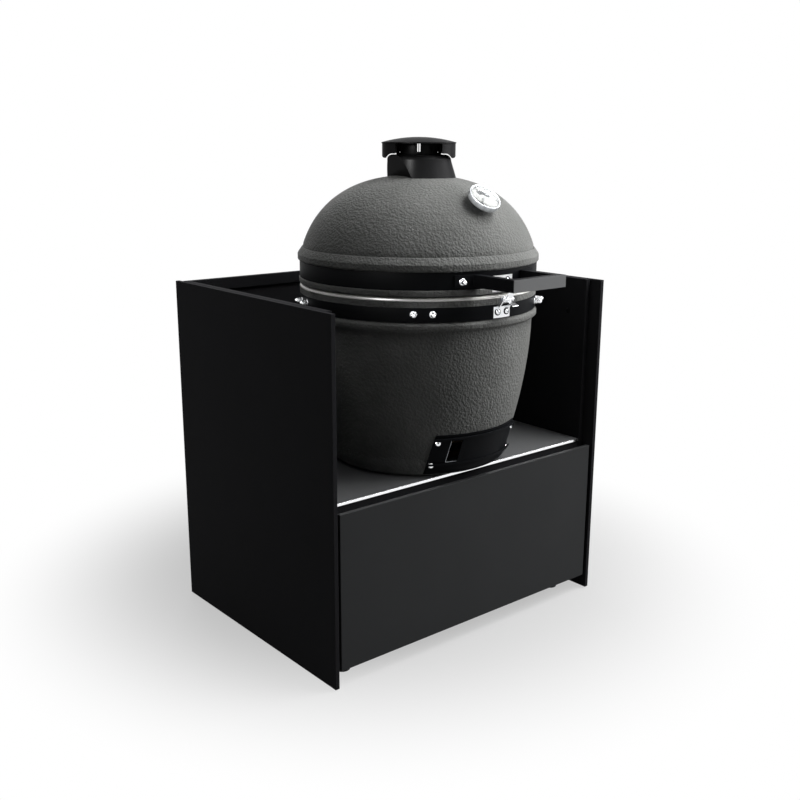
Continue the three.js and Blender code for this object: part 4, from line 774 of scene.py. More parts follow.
def rounded(outline, radius, steps=4, least=18.0):
    """Rounds the corners of a closed outline that turn by more than a few degrees."""
    # The largest share of a side that one corner may use
    most = 0.45
    result = []
    for i, corner in enumerate(outline):
        here = Vector(corner)
        back = Vector(outline[i - 1]) - here
        ahead = Vector(outline[(i + 1) % len(outline)]) - here
        turn = math.pi - back.angle(ahead, math.pi)
        if turn < math.radians(least) or here.x <= 0.0:
            result.append(tuple(corner))
            continue
        cut = min(radius * math.tan(turn / 2), most * back.length, most * ahead.length)
        back.normalize()
        ahead.normalize()
        middle = here + (back + ahead).normalized() * (cut / math.sin(turn / 2))
        start = here + back * cut - middle
        end = here + ahead * cut - middle
        for share in run(0, 1, steps):
            spoke = (start * (1 - share) + end * share).normalized() * start.length
            result.append(tuple(middle + spoke))
    return result


def oblong(left, low, right, high):
    """Outline of a rectangle between two corners."""
    return [(left, low), (right, low), (right, high), (left, high)]


def turned(mesh, outline, place=PLACE, sides=32, span=(-180.0, 180.0)):
    """Adds a closed outline of (radius, height), turned about Z and then placed."""
    whole = span[1] - span[0] >= 360.0
    count = sides if whole else sides + 1
    columns = []
    for degrees in run(*span, sides)[:count]:
        turn = math.radians(degrees)
        across = Vector((math.sin(turn), -math.cos(turn), 0.0))
        column = [place @ (across * radius + Vector((0, 0, height))) for radius, height in outline]
        columns.append([mesh.verts.new(point) for point in column])
    for i in range(sides):
        here, there = columns[i], columns[(i + 1) % count]
        for j in range(len(outline)):
            k = (j + 1) % len(outline)
            if outline[j][0] > 0.0 or outline[k][0] > 0.0:
                mesh.faces.new((here[j], here[k], there[k], there[j]))
    if not whole:
        mesh.faces.new(columns[0])
        mesh.faces.new(columns[-1][::-1])


def revolved(name, outline, sides=192, span=(-180.0, 180.0), place=PLACE):
    """A piece that is an outline turned about the kamado's axis."""
    mesh = bmesh.new()
    turned(mesh, outline, place, sides, span)
    return piece_of(name, mesh)


def slab(mesh, outline, thickness, place):
    """Adds a flat piece: an outline in X and Y, so thick along Z, and then placed."""
    low, high = [
        [mesh.verts.new(place @ Vector((x, y, z))) for x, y in outline]
        for z in (-thickness / 2, thickness / 2)
    ]
    mesh.faces.new(low[::-1])
    mesh.faces.new(high)
    for i in range(len(outline)):
        j = (i + 1) % len(outline)
        mesh.faces.new((low[i], low[j], high[j], high[i]))


def flat_piece(name, outline, thickness, place):
    """A piece that is one flat outline with a thickness."""
    mesh = bmesh.new()
    slab(mesh, outline, thickness, place)
    return piece_of(name, mesh)


def board(name, low, high, ease):
    """A board between two corners, with rounded edges."""
    middle = Matrix.Translation((0, 0, (low.z + high.z) / 2))
    outline = oblong(low.x, low.y, high.x, high.y)
    return eased(flat_piece(name, outline, high.z - low.z, middle), ease)


def sweep(mesh, points, radius, sides=12, closed=False):
    """Adds a round wire along points."""
    rings = []
    count = len(points)
    side = None
    for i, point in enumerate(points):
        after = points[(i + 1) % count] if closed or i + 1 < count else point
        before = points[i - 1] if closed or i > 0 else point
        along = (after - before).normalized()
        if side is None:
            side = along.orthogonal().normalized()
        side = (side - along * side.dot(along)).normalized()
        other = along.cross(side)
        rings.append([
            mesh.verts.new(point + radius * (
                math.cos(2 * math.pi * k / sides) * side + math.sin(2 * math.pi * k / sides) * other
            ))
            for k in range(sides)
        ])
    for i in range(count if closed else count - 1):
        here, there = rings[i], rings[(i + 1) % count]
        for k in range(sides):
            n = (k + 1) % sides
            mesh.faces.new((here[k], here[n], there[n], there[k]))
    if not closed:
        mesh.faces.new(rings[0][::-1])
        mesh.faces.new(rings[-1])


def above_shelf(node):
    """Lowest and highest height of a node of the frame above the shelf."""
    return [corner.z - AXIS.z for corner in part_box(node)]


def around(azimuth, radius, height):
    """A place round the kamado, in degrees from the front towards the right."""
    turn = math.radians(azimuth)
    return AXIS + Vector((radius * math.sin(turn), -radius * math.cos(turn), height))


def facing_out(azimuth, radius, height, lean=0.0):
    """The matrix that stands a piece, drawn along Z, on the kamado's side."""
    turn = Matrix.Rotation(math.radians(azimuth), 4, "Z")
    tilt = Matrix.Rotation(math.pi / 2 + math.radians(lean), 4, "X")
    return Matrix.Translation(around(azimuth, radius, height)) @ turn @ tilt


def bowl_radius(sizes, height):
    """Outer radius of the bowl at a height above the shelf."""
    share = min(max(height, 0.0) / sizes.bowl_height, 1.0)
    swell = 1 - (1 - share) ** sizes.fullness
    radius = sizes.foot_radius + (sizes.top_radius - sizes.foot_radius) * swell
    if height >= sizes.corner_height:
        return radius
    corner = bowl_radius(sizes, sizes.corner_height)
    rise = 1 - height / sizes.corner_height
    return sizes.contact_radius + (corner - sizes.contact_radius) * math.sqrt(max(0, 1 - rise * rise))


def flared(mesh, sizes):
    """Widens the draft door's pieces towards their lower edge, as a straight sheet bends."""
    for vertex in mesh.verts:
        place = vertex.co - AXIS
        share = 1 + sizes.flare * (sizes.window_high - place.z)
        turn = math.atan2(place.x, -place.y) * share
        radius = math.hypot(place.x, place.y)
        vertex.co = AXIS + Vector((radius * math.sin(turn), -radius * math.cos(turn), place.z))
    return mesh


def bowl_heights(sizes, low, high, corner_steps=14, steps=26):
    """Heights of the bowl's outline, closer together round its foot."""
    corner = sizes.corner_height
    foot = [corner * (1 - math.cos(math.pi / 2 * i / corner_steps)) for i in range(corner_steps)]
    side = run(corner, sizes.bowl_height, steps)
    return [low] + [h for h in foot + side if low < h < high] + [high]


def dome_curve(sizes, low, to_radius, radius, rise, steps):
    """Points up the dome's curve, inside or outside."""
    power = sizes.dome_power
    start = math.asin(((low - sizes.dome_centre) / rise) ** (power / 2))
    end = math.acos((to_radius / radius) ** (power / 2))
    points = []
    for turn in run(start, end, steps):
        across = math.cos(turn) ** (2 / power)
        up = math.sin(turn) ** (2 / power)
        points.append((radius * across, sizes.dome_centre + rise * up))
    return points


def dome_height(sizes, radius):
    """Height of the dome's outside at a radius."""
    power = sizes.dome_power
    return sizes.dome_centre + sizes.dome_rise * (1 - (radius / sizes.dome_radius) ** power) ** (1 / power)


def arc(middle, radius, start, end, steps):
    """Points of an arc in a profile, between two angles in degrees."""
    points = []
    for degrees in run(start, end, steps):
        turn = math.radians(degrees)
        points.append((middle[0] + radius * math.cos(turn), middle[1] + radius * math.sin(turn)))
    return points


def dome_nut(mesh, place, sizes):
    """Adds a dome nut on its washer, drawn along Z from the face that it stands on."""
    washer, hexagon = sizes.washer_height, sizes.nut_height
    edge = sizes.washer_height / 3
    turned(mesh, [
        (0, 0), (sizes.washer_radius, 0), (sizes.washer_radius, washer - edge),
        (sizes.washer_radius - edge, washer), (0, washer),
    ], place, sides=24)
    top = washer + hexagon
    chamfer = (sizes.nut_across - sizes.nut_dome) / 2
    turned(mesh, [
        (0, washer), (sizes.nut_across - chamfer / 2, washer), (sizes.nut_across, washer + chamfer / 2),
        (sizes.nut_across, top - chamfer), (sizes.nut_dome, top), (0, top),
    ], place, sides=6)
    straight = sizes.nut_reach - sizes.nut_dome
    cap = arc((0, straight), sizes.nut_dome, 0, 90, 7)
    cap[-1] = (0, sizes.nut_reach)
    turned(mesh, [(0, top), (sizes.nut_dome, top), *cap], place, sides=24)


def button_head(mesh, place, radius, dome, socket):
    """Adds a button-head screw with a socket, drawn along Z."""
    corner, floor = 1.15 * socket, 0.3 * dome
    quarter = arc((0, 0), 1, 0, 90, 7)
    crown = [(radius * x, dome * y) for x, y in quarter if radius * x > corner]
    rim_height = dome * math.sqrt(1 - (corner / radius) ** 2)
    outline = [(0, 0), *crown, (corner, rim_height), (corner, floor), (0, floor)]
    turned(mesh, outline, place, sides=24)


class DressTable:
    """What every operator of the kamado table shares."""

    bl_options = {"REGISTER", "UNDO"}


class KAMADO_OT_finishes(DressTable, Operator):
    """Makes the finishes of the table and the kamado"""

    bl_idname = "kamado.finishes"
    bl_label = "Finishes"

    def execute(self, context):
        make_finishes(context.scene.kamado_finishes)
        return {"FINISHED"}


class KAMADO_OT_cabinet(DressTable, Operator):
    """Dresses the module: panels, walls, shelf, trim, rails and feet"""

    bl_idname = "kamado.cabinet"
    bl_label = "Cabinet"

    def execute(self, context):
        sizes = context.scene.kamado_cabinet
        boards = [
            ("side_panel_left", "panel", "panel", sizes.board_ease),
            ("side_panel_right", "panel", "panel", sizes.board_ease),
            ("back_panel", "panel", "panel", sizes.board_ease),
            ("kamado_shelf", "shelf", "shelf", sizes.plate_ease),
            ("back_rail", "frame", "frame", sizes.plate_ease),
        ]
        for node, finish, slot, ease in boards:
            low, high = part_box(node)
            fit(board(f"{node}_coated", low, high, ease), "cabinet", finish, slot, node)
        # The trim's face leans back a little, so it mirrors the pale room and not the drawer's edge
        low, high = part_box("shelf_edge_trim")
        outline = [
            (low.y, low.z), (high.y, low.z), (high.y, high.z), (low.y + sizes.trim_lean, high.z)
        ]
        trim = flat_piece("shelf_edge_trim_brushed", outline, high.x - low.x, ALONG_X)
        fit(eased(trim, sizes.trim_ease), "cabinet", "trim", "trim", "shelf_edge_trim")
        finish_nodes(
            "frame", "frame_wall_left", "frame_wall_right", "bottom_panel", "shelf_rail_front",
            "shelf_rail_middle", "shelf_rail_rear"
        )
        finish_nodes("foot", "foot_front_left", "foot_front_right", "foot_rear_left", "foot_rear_right")
        return {"FINISHED"}


class KAMADO_OT_coupling_bolts(DressTable, Operator):
    """Adds the bolts that couple the module to its neighbours"""

    bl_idname = "kamado.coupling_bolts"
    bl_label = "Coupling bolts"

    def execute(self, context):
        sizes = context.scene.kamado_cabinet
        low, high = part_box("frame_wall_right")
        height = high.z - sizes.bolt_inset
        mesh = bmesh.new()
        for sign in (-1, 1):
            for y in (sizes.bolt_front, sizes.bolt_rear):
                toward = Matrix.Rotation(-sign * math.pi / 2, 4, "Y")
                place = Matrix.Translation((sign * low.x, y, height)) @ toward
                button_head(mesh, place, sizes.bolt_head, sizes.bolt_dome, sizes.bolt_socket)
        fit(piece_of("coupling_bolts", mesh), "cabinet", "band", "band")
        return {"FINISHED"}


class KAMADO_OT_drawer(DressTable, Operator):
    """Dresses the drawer and its runners"""

    bl_idname = "kamado.drawer"
    bl_label = "Drawer"

    def execute(self, context):
        sizes = context.scene.kamado_cabinet
        low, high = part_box("drawer_front")
        high.z -= sizes.drawer_drop
        front = board("drawer_front_coated", low, high, sizes.board_ease)
        fit(front, "drawer", "drawer", "drawer", "drawer_front")
        finish_nodes(
            "drawer_steel", "drawer_side_left", "drawer_side_right", "drawer_back", "drawer_bottom"
        )
        for part in ("outer", "middle", "inner"):
            finish_nodes("runner", f"runner_{part}_left", f"runner_{part}_right")
        return {"FINISHED"}


class KAMADO_OT_base(DressTable, Operator):
    """Turns the glazed base, with its beads, groove and draft opening"""

    bl_idname = "kamado.base"
    bl_label = "Ceramic base"

    def execute(self, context):
        sizes = context.scene.kamado_shell
        bands = context.scene.kamado_bands
        draft = context.scene.kamado_draft
        outside = [(bowl_radius(sizes, h), h) for h in bowl_heights(sizes, 0, sizes.bowl_height)]
        inside = [
            (bowl_radius(sizes, h) - sizes.wall, h)
            for h in bowl_heights(sizes, sizes.floor_height + sizes.wall / 2, sizes.bowl_height)
        ]
        # Inside, a slope leads from the floor into the wall
        floor_edge = bowl_radius(sizes, sizes.floor_height) - 1.4 * sizes.wall
        seat = sizes.rim_radius - bands.thickness - GAP
        band_low = bands.lower_bottom - GAP
        band_high = bands.lower_bottom + bands.lower_height + GAP
        groove_outer = sizes.groove_inner + sizes.groove_width
        groove_floor = sizes.rim_top - sizes.groove_depth
        rim = rounded([
            (sizes.top_radius, sizes.bowl_height), (sizes.bead_radius - 2 * sizes.rim_ease, sizes.bead_low),
            (sizes.bead_radius, sizes.bead_low + sizes.rim_ease),
            (sizes.bead_radius, sizes.bead_high - sizes.rim_ease), (seat, band_low),
            (seat, band_high), (sizes.rim_radius, band_high),
        ], GLAZE_EDGE)
        shoulder = sizes.rim_shoulder
        inner = sizes.rim_radius - shoulder
        highlight_low = sizes.rim_top - shoulder - sizes.rim_seam
        rim += [
            (sizes.rim_radius, highlight_low), (inner, highlight_low), (inner, sizes.rim_top),
            (groove_outer, sizes.rim_top), (groove_outer, groove_floor),
            (sizes.groove_inner, groove_floor), (sizes.groove_inner, sizes.rim_top),
            (sizes.top_radius - sizes.wall, sizes.rim_top),
        ]
        # A near-white band round the rim's shoulder: painted highlight where the light catches the glaze
        highlight_band = arc((inner, sizes.rim_top - shoulder), shoulder, 0, 90, 10)
        highlight_band += [(inner, highlight_low), (sizes.rim_radius, highlight_low)]
        fit(revolved("base_rim_painted_highlight", highlight_band), "cabinet", "rim_highlight", "ceramic")
        floor = [(floor_edge, sizes.floor_height), (0, sizes.floor_height)]
        base = revolved("base_glazed", [(0, 0), *outside[:-1], *rim, *inside[::-1], *floor])
        margin = math.degrees(draft.margin / bowl_radius(sizes, draft.window_high))
        reach = sizes.bead_radius
        low, high = draft.window_low - draft.margin, draft.window_high + draft.margin
        mesh = bmesh.new()
        span = (draft.window_left - margin, draft.window_right + margin)
        turned(mesh, oblong(reach / 2, low, reach, high), sides=12, span=span)
        opening = piece_of("opening", flared(mesh, draft))
        fit(carved(base, opening), "cabinet", "ceramic", "ceramic", "kamado_base")
        return {"FINISHED"}


class KAMADO_OT_dome(DressTable, Operator):
    """Turns the glazed dome, with its bead, groove and flue"""

    bl_idname = "kamado.dome"
    bl_label = "Ceramic dome"

    def execute(self, context):
        sizes = context.scene.kamado_shell
        bands = context.scene.kamado_bands
        gauge = context.scene.kamado_gauge
        outer = dome_curve(sizes, sizes.junction, sizes.flue_radius, sizes.dome_radius, sizes.dome_rise, 64)
        inner_rise = sizes.dome_rise - sizes.wall
        inner = dome_curve(sizes, sizes.dome_bottom, sizes.flue_radius, sizes.dome_inner, inner_rise, 40)
        seat = sizes.rim_radius - bands.thickness - GAP
        band_low = bands.upper_bottom - GAP
        band_high = bands.upper_bottom + bands.upper_height + GAP
        groove_outer = sizes.groove_inner + sizes.groove_width
        groove_roof = sizes.dome_bottom + sizes.groove_depth
        ease = sizes.rim_ease
        ledge = sizes.rim_ledge
        rim = rounded([
            inner[0], (sizes.groove_inner, sizes.dome_bottom), (sizes.groove_inner, groove_roof),
            (groove_outer, groove_roof), (groove_outer, sizes.dome_bottom),
            (sizes.rim_radius + ledge, sizes.dome_bottom),
            (sizes.rim_radius + ledge, band_low - ledge), (sizes.rim_radius, band_low),
            (seat, band_low), (seat, band_high),
            (sizes.crown_bead_radius - ease, sizes.crown_bead_low),
            (sizes.crown_bead_radius, sizes.crown_bead_low + ease),
            (sizes.crown_bead_radius, sizes.crown_bead_high - ease),
            (sizes.crown_bead_radius - ease / 2, sizes.crown_bead_high), outer[0],
        ], GLAZE_EDGE)
        dome = revolved("dome_glazed", [*rim, *outer[1:], *inner[:0:-1]])
        mesh = bmesh.new()
        play = 1 * MM
        stem = gauge.stem_radius + play
        deep, proud = 2 * sizes.wall, sizes.wall
        turned(mesh, oblong(0, -deep, stem, proud), gauge_place(context), sides=24)
        dome = carved(dome, piece_of("stem_hole", mesh))
        fit(dome, "dome", "ceramic", "ceramic", "kamado_dome")
        return {"FINISHED"}


class KAMADO_OT_gaskets(DressTable, Operator):
    """Lays the felt gaskets into both rims"""

    bl_idname = "kamado.gaskets"
    bl_label = "Gaskets"

    def execute(self, context):
        sizes = context.scene.kamado_shell
        inner = sizes.groove_inner + GAP
        outer = sizes.groove_inner + sizes.groove_width - GAP
        felt_edge = 0.8 * MM
        for name, node, body in (
            ("base_gasket_felt", "base_gasket", "cabinet"), ("dome_gasket_felt", "dome_gasket", "dome"),
        ):
            low, high = above_shelf(node)
            outline = rounded(oblong(inner, low, outer, high), felt_edge)
            fit(revolved(name, outline), body, "felt", "felt", node)
        return {"FINISHED"}


class KAMADO_OT_bands(DressTable, Operator):
    """Rolls the steel bands and sets their dome nuts"""

    bl_idname = "kamado.bands"
    bl_label = "Bands and nuts"

    def execute(self, context):
        shell = context.scene.kamado_shell
        sizes = context.scene.kamado_bands
        inner = shell.rim_radius - sizes.thickness
        face = shell.rim_radius
        plates = (
            ("lower_band", "cabinet", sizes.lower_bottom, sizes.lower_height),
            ("upper_band", "dome", sizes.upper_bottom, sizes.upper_height),
        )
        # The nuts sit a little nearer to the joint between base and dome than the bands' middles
        toward_joint = 1.5 * MM
        lower_nuts = (-113.5, -105.0, -42.8, -34.3, 34.3, 42.8, 105.0, 113.5)
        upper_nuts = (-21.4, 21.4)
        for node, body, low, height in plates:
            high = low + height
            outline = rounded(oblong(inner, low, face, high), sizes.edge)
            fit(revolved(f"{node}_rolled", outline), body, "band", "band", node)
        lower = bmesh.new()
        height = sizes.lower_bottom + sizes.lower_height / 2 + toward_joint
        for azimuth in lower_nuts:
            dome_nut(lower, facing_out(azimuth, face, height), sizes)
        fit(piece_of("lower_band_nuts", lower), "cabinet", "chrome", "chrome")
        upper = bmesh.new()
        face += context.scene.kamado_handle.flange + GAP
        height = sizes.upper_bottom + sizes.upper_height / 2 - toward_joint
        for azimuth in upper_nuts:
            dome_nut(upper, facing_out(azimuth, face, height), sizes)
        fit(piece_of("upper_band_nuts", upper), "dome", "chrome", "chrome")
        return {"FINISHED"}


class KAMADO_OT_handle(DressTable, Operator):
    """Builds the handle on the upper band"""

    bl_idname = "kamado.handle"
    bl_label = "Handle"

    def execute(self, context):
        sizes = context.scene.kamado_handle
        seat = context.scene.kamado_shell.rim_radius + GAP
        outer = sizes.width / 2
        inner = outer - sizes.bar_depth
        front, back = -sizes.reach + sizes.face, -sizes.reach + sizes.bar_depth
        near, far = sizes.flange_near, sizes.flange_far
        lip = seat + sizes.flange
        half = [(outer, front), (outer, -math.sqrt(lip ** 2 - outer ** 2))]
        start = math.asin(outer / lip)
        steps = 10
        for turn in run(start, far, steps)[1:]:
            half.append((lip * math.sin(turn), -lip * math.cos(turn)))
        end = min(near, math.asin(inner / seat))
        for turn in run(far, end, 2 * steps):
            half.append((seat * math.sin(turn), -seat * math.cos(turn)))
        half.append((inner, -math.sqrt(lip ** 2 - inner ** 2)))
        half.append((inner, back))
        outline = half + [(-x, y) for x, y in half[::-1]]
        middle = AXIS + Vector((0, 0, sizes.bottom + sizes.bar_height / 2))
        handle = flat_piece("handle_coated", outline, sizes.bar_height, Matrix.Translation(middle))
        fit(eased(handle, sizes.edge), "dome", "band", "band", "handle")
        low = AXIS + Vector((-outer, -sizes.reach, sizes.bottom))
        high = AXIS + Vector((outer, front, sizes.bottom + sizes.bar_height))
        # A grey plate on the bar's front: painted light, where the front face of the black bar catches the
        # lamps
        plate = board("handle_front_painted_light", low, high, sizes.face / 3)
        fit(plate, "dome", "handle", "band")
        return {"FINISHED"}


class KAMADO_OT_latch(DressTable, Operator):
    """Finishes the chrome latch: plates, pin, hook, striker and bolts"""

    bl_idname = "kamado.latch"
    bl_label = "Latch"

    def execute(self, context):
        sizes = context.scene.kamado_latch
        finish_nodes("chrome", "latch_bracket", "latch_striker")
        finish_nodes("spring", "latch_pin")
        finish_nodes("zinc_white", "latch_catch")
        low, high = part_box("latch_pin")
        pivot = (low + high) / 2
        half = sizes.barrel_length / 2
        lie = Matrix.Rotation(math.pi / 2, 4, "Y")
        lean = Matrix.Rotation(sizes.released, 4, "X")
        mesh = bmesh.new()
        barrel = rounded(oblong(sizes.bore, -half, sizes.barrel_radius, half), sizes.barrel_edge)
        turned(mesh, barrel, Matrix.Translation(pivot) @ lie, sides=40)
        arm_back = -sizes.arm_standoff
        arm_front = arm_back - sizes.arm_thickness
        top = sizes.arm_reach + sizes.arm_thickness
        tab = sizes.tab_thickness / 2
        tip = arm_front - sizes.tab_length
        # The roots of arm and tab lie inside the barrel's wall
        arm_root, tab_root = 0.85 * sizes.barrel_radius, -0.9 * sizes.barrel_radius
        arm = [
            (arm_back, arm_root), (arm_back, sizes.arm_reach),
            (sizes.nose, sizes.arm_reach), (sizes.nose, top - tab), (sizes.nose - tab, top),
            (arm_front + tab, top), (arm_front, top - tab), (arm_front, tab), (tip, tab),
            (tip - tab, 0), (tip, -tab), (arm_front, -tab), (tab_root, -tab),
        ]
        slab(mesh, arm, sizes.arm_width, Matrix.Translation(pivot) @ lean @ ALONG_X)
        hook = eased(piece_of("latch_hook_polished", mesh), SMALL_EDGE)
        fit(hook, "hook", "chrome", "chrome", "latch_hook")
        seat = context.scene.kamado_shell.rim_radius + GAP + sizes.plate_thickness
        turn = math.degrees(sizes.bolt_spacing / 2 / seat)
        washer_height = 1 * MM
        # Bolts over the bracket's foot and under the catch's top edge
        bracket = above_shelf("latch_bracket")[0] + sizes.bracket_bolts
        catch = above_shelf("latch_catch")[1] - sizes.catch_bolts
        for node, body, height in (
            ("latch_bracket", "cabinet", bracket), ("latch_catch", "dome", catch),
        ):
            mesh = bmesh.new()
            shade_rings = bmesh.new()
            for azimuth in (-turn, turn):
                place = facing_out(azimuth, seat, height)
                button_head(mesh, place, sizes.bolt_head, sizes.bolt_dome, sizes.bolt_socket)
                # Black washers under the heads are painted shade round each head
                washer = rounded(oblong(0, 0, sizes.shade_ring_radius, washer_height), FINE_EDGE)
                turned(shade_rings, washer, place, sides=32)
            fit(piece_of(f"{node}_bolts", mesh), body, "chrome", "chrome")
            fit(piece_of(f"{node}_washers", shade_rings), body, "band", "band")
        return {"FINISHED"}


class KAMADO_OT_hinge(DressTable, Operator):
    """Finishes the rear hinge and winds its springs"""

    bl_idname = "kamado.hinge"
    bl_label = "Rear hinge"

    def execute(self, context):
        sizes = context.scene.kamado_hinge
        finish_nodes("band", "hinge_lower_bracket", "hinge_upper_bracket")
        low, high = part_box("hinge_pin")
        middle = (low + high) / 2
        half = (high.x - low.x) / 2
        shank = half - sizes.head_length
        outline = rounded([
            (0, -half), (sizes.head_radius, -half), (sizes.head_radius, -shank),
            (sizes.pin_radius, -shank), (sizes.pin_radius, shank), (sizes.head_radius, shank),
            (sizes.head_radius, half), (0, half),
        ], sizes.pin_edge)
        lie = Matrix.Translation(middle) @ Matrix.Rotation(math.pi / 2, 4, "Y")
        pin = revolved("hinge_pin_turned", outline, sides=40, place=lie)
        fit(pin, "cabinet", "stainless", "stainless", "hinge_pin")
        steps = 36
        for side, sign in SIDES:
            points = []
            # Each end runs straight on for the length of half a turn
            total = int((sizes.turns + 1) * steps)
            for i in range(total + 1):
                turns = i / steps - 0.5
                on_coil = min(max(turns, 0.0), sizes.turns)
                tail = (turns - on_coil) * 2 * math.pi * sizes.coil
                turn = -math.pi / 2 + on_coil * 2 * math.pi
                y = sizes.coil * math.cos(turn) - tail * math.sin(turn)
                z = sizes.coil * math.sin(turn) + tail * math.cos(turn)
                x = sign * (sizes.start + on_coil * sizes.pitch)
                points.append(middle + Vector((x, y, z)))
            mesh = bmesh.new()
            sweep(mesh, points, sizes.wire, sides=14)
            spring = piece_of(f"hinge_spring_{side}_wound", mesh)
            fit(spring, "cabinet", "spring", "stainless", f"hinge_spring_{side}")
        return {"FINISHED"}


class KAMADO_OT_chimney(DressTable, Operator):
    """Casts the chimney with its shoulder and leaning flats"""

    bl_idname = "kamado.chimney"
    bl_label = "Chimney"

    def execute(self, context):
        shell = context.scene.kamado_shell
        sizes = context.scene.kamado_vent
        lift = 0.5 * MM
        radii = run(sizes.bore_base, sizes.base_radius, 12)
        seat = [(radius, dome_height(shell, radius) + lift) for radius in radii]
        shoulder = arc((sizes.top_radius - sizes.shoulder, sizes.cone_top), sizes.shoulder, 0, 90, 10)
        top = sizes.cone_top + sizes.shoulder
        chimney = revolved("chimney_cast", [*seat, *shoulder, (sizes.bore_top, top)])
        slope = (sizes.flat_high_out - sizes.flat_low_out) / (sizes.flat_high - sizes.flat_low)
        beyond = 20 * MM
        cutters = []
        for sign in (-1, 1):
            low, high = sizes.flat_low - beyond, top + beyond
            reach = 2 * sizes.base_radius
            outline = [
                (sizes.flat_low_out + slope * (low - sizes.flat_low), low), (reach, low),
                (reach, high), (sizes.flat_low_out + slope * (high - sizes.flat_low), high),
            ]
            out = around(math.degrees(sizes.flat_azimuth) * sign, 1.0, 0.0) - AXIS
            up = Vector((0, 0, 1))
            across = out.cross(up)
            place = PLACE @ Matrix((out, up, across)).transposed().to_4x4()
            cutters.append(flat_piece(f"flat_{sign + 1}", outline, 2 * reach, place))
        chimney = eased(carved(chimney, *cutters), sizes.cast_edge, least=24.0)
        fit(chimney, "dome", "casting", "casting", "chimney")
        return {"FINISHED"}


def slot_cutters(sizes, low, reach):
    """Wedges that cut the slots of the collar or the sleeve."""
    cutters = []
    for i in range(sizes.slots):
        middle = math.degrees(sizes.cap_azimuth) + 360 * i / sizes.slots
        half = math.degrees(sizes.slot_angle) / 2
        high = low + sizes.slot_height
        outline = oblong(reach / 2, low, reach, high)
        cutters.append(revolved(f"slot_{i}", outline, sides=3, span=(middle - half, middle + half)))
    return cutters


class KAMADO_OT_collar(DressTable, Operator):
    """Turns the slotted collar with its bridge"""

    bl_idname = "kamado.collar"
    bl_label = "Slotted collar"

    def execute(self, context):
        sizes = context.scene.kamado_vent
        low = above_shelf("vent_collar")[0]
        high = low + sizes.collar_height
        inner = sizes.collar_radius - sizes.collar_wall
        # The collar's foot reaches down to the chimney's top
        foot = sizes.cone_top + sizes.shoulder
        outline = rounded(oblong(inner, foot, sizes.collar_radius, high), sizes.collar_edge)
        collar = revolved("vent_collar_cast", outline, sides=120)
        reach = sizes.collar_radius + sizes.collar_wall
        collar = carved(collar, *slot_cutters(sizes, low + sizes.slot_lift, reach))
        fit(collar, "dome", "casting", "casting", "vent_collar")
        mesh = bmesh.new()
        # The bridge's ends all but touch the collar's bore
        half = inner - 0.05 * MM
        wide = sizes.bridge / 2
        hole = sizes.spindle + sizes.clearance
        arm = [(half, -wide), (half, wide)]
        for turn in run(math.pi / 2, -math.pi / 2, 16):
            arm.append((hole * math.cos(turn), hole * math.sin(turn)))
        arm.insert(2, (0, wide))
        arm.append((0, -wide))
        for sign in (1, -1):
            outline = [(sign * x, sign * y) for x, y in arm]
            place = PLACE @ Matrix.Translation((0, 0, low + sizes.bridge_height / 2))
            slab(mesh, outline, sizes.bridge_height, place)
        bridge = piece_of("vent_bridge_cast", mesh)
        fit(bridge, "dome", "casting", "casting")
        return {"FINISHED"}


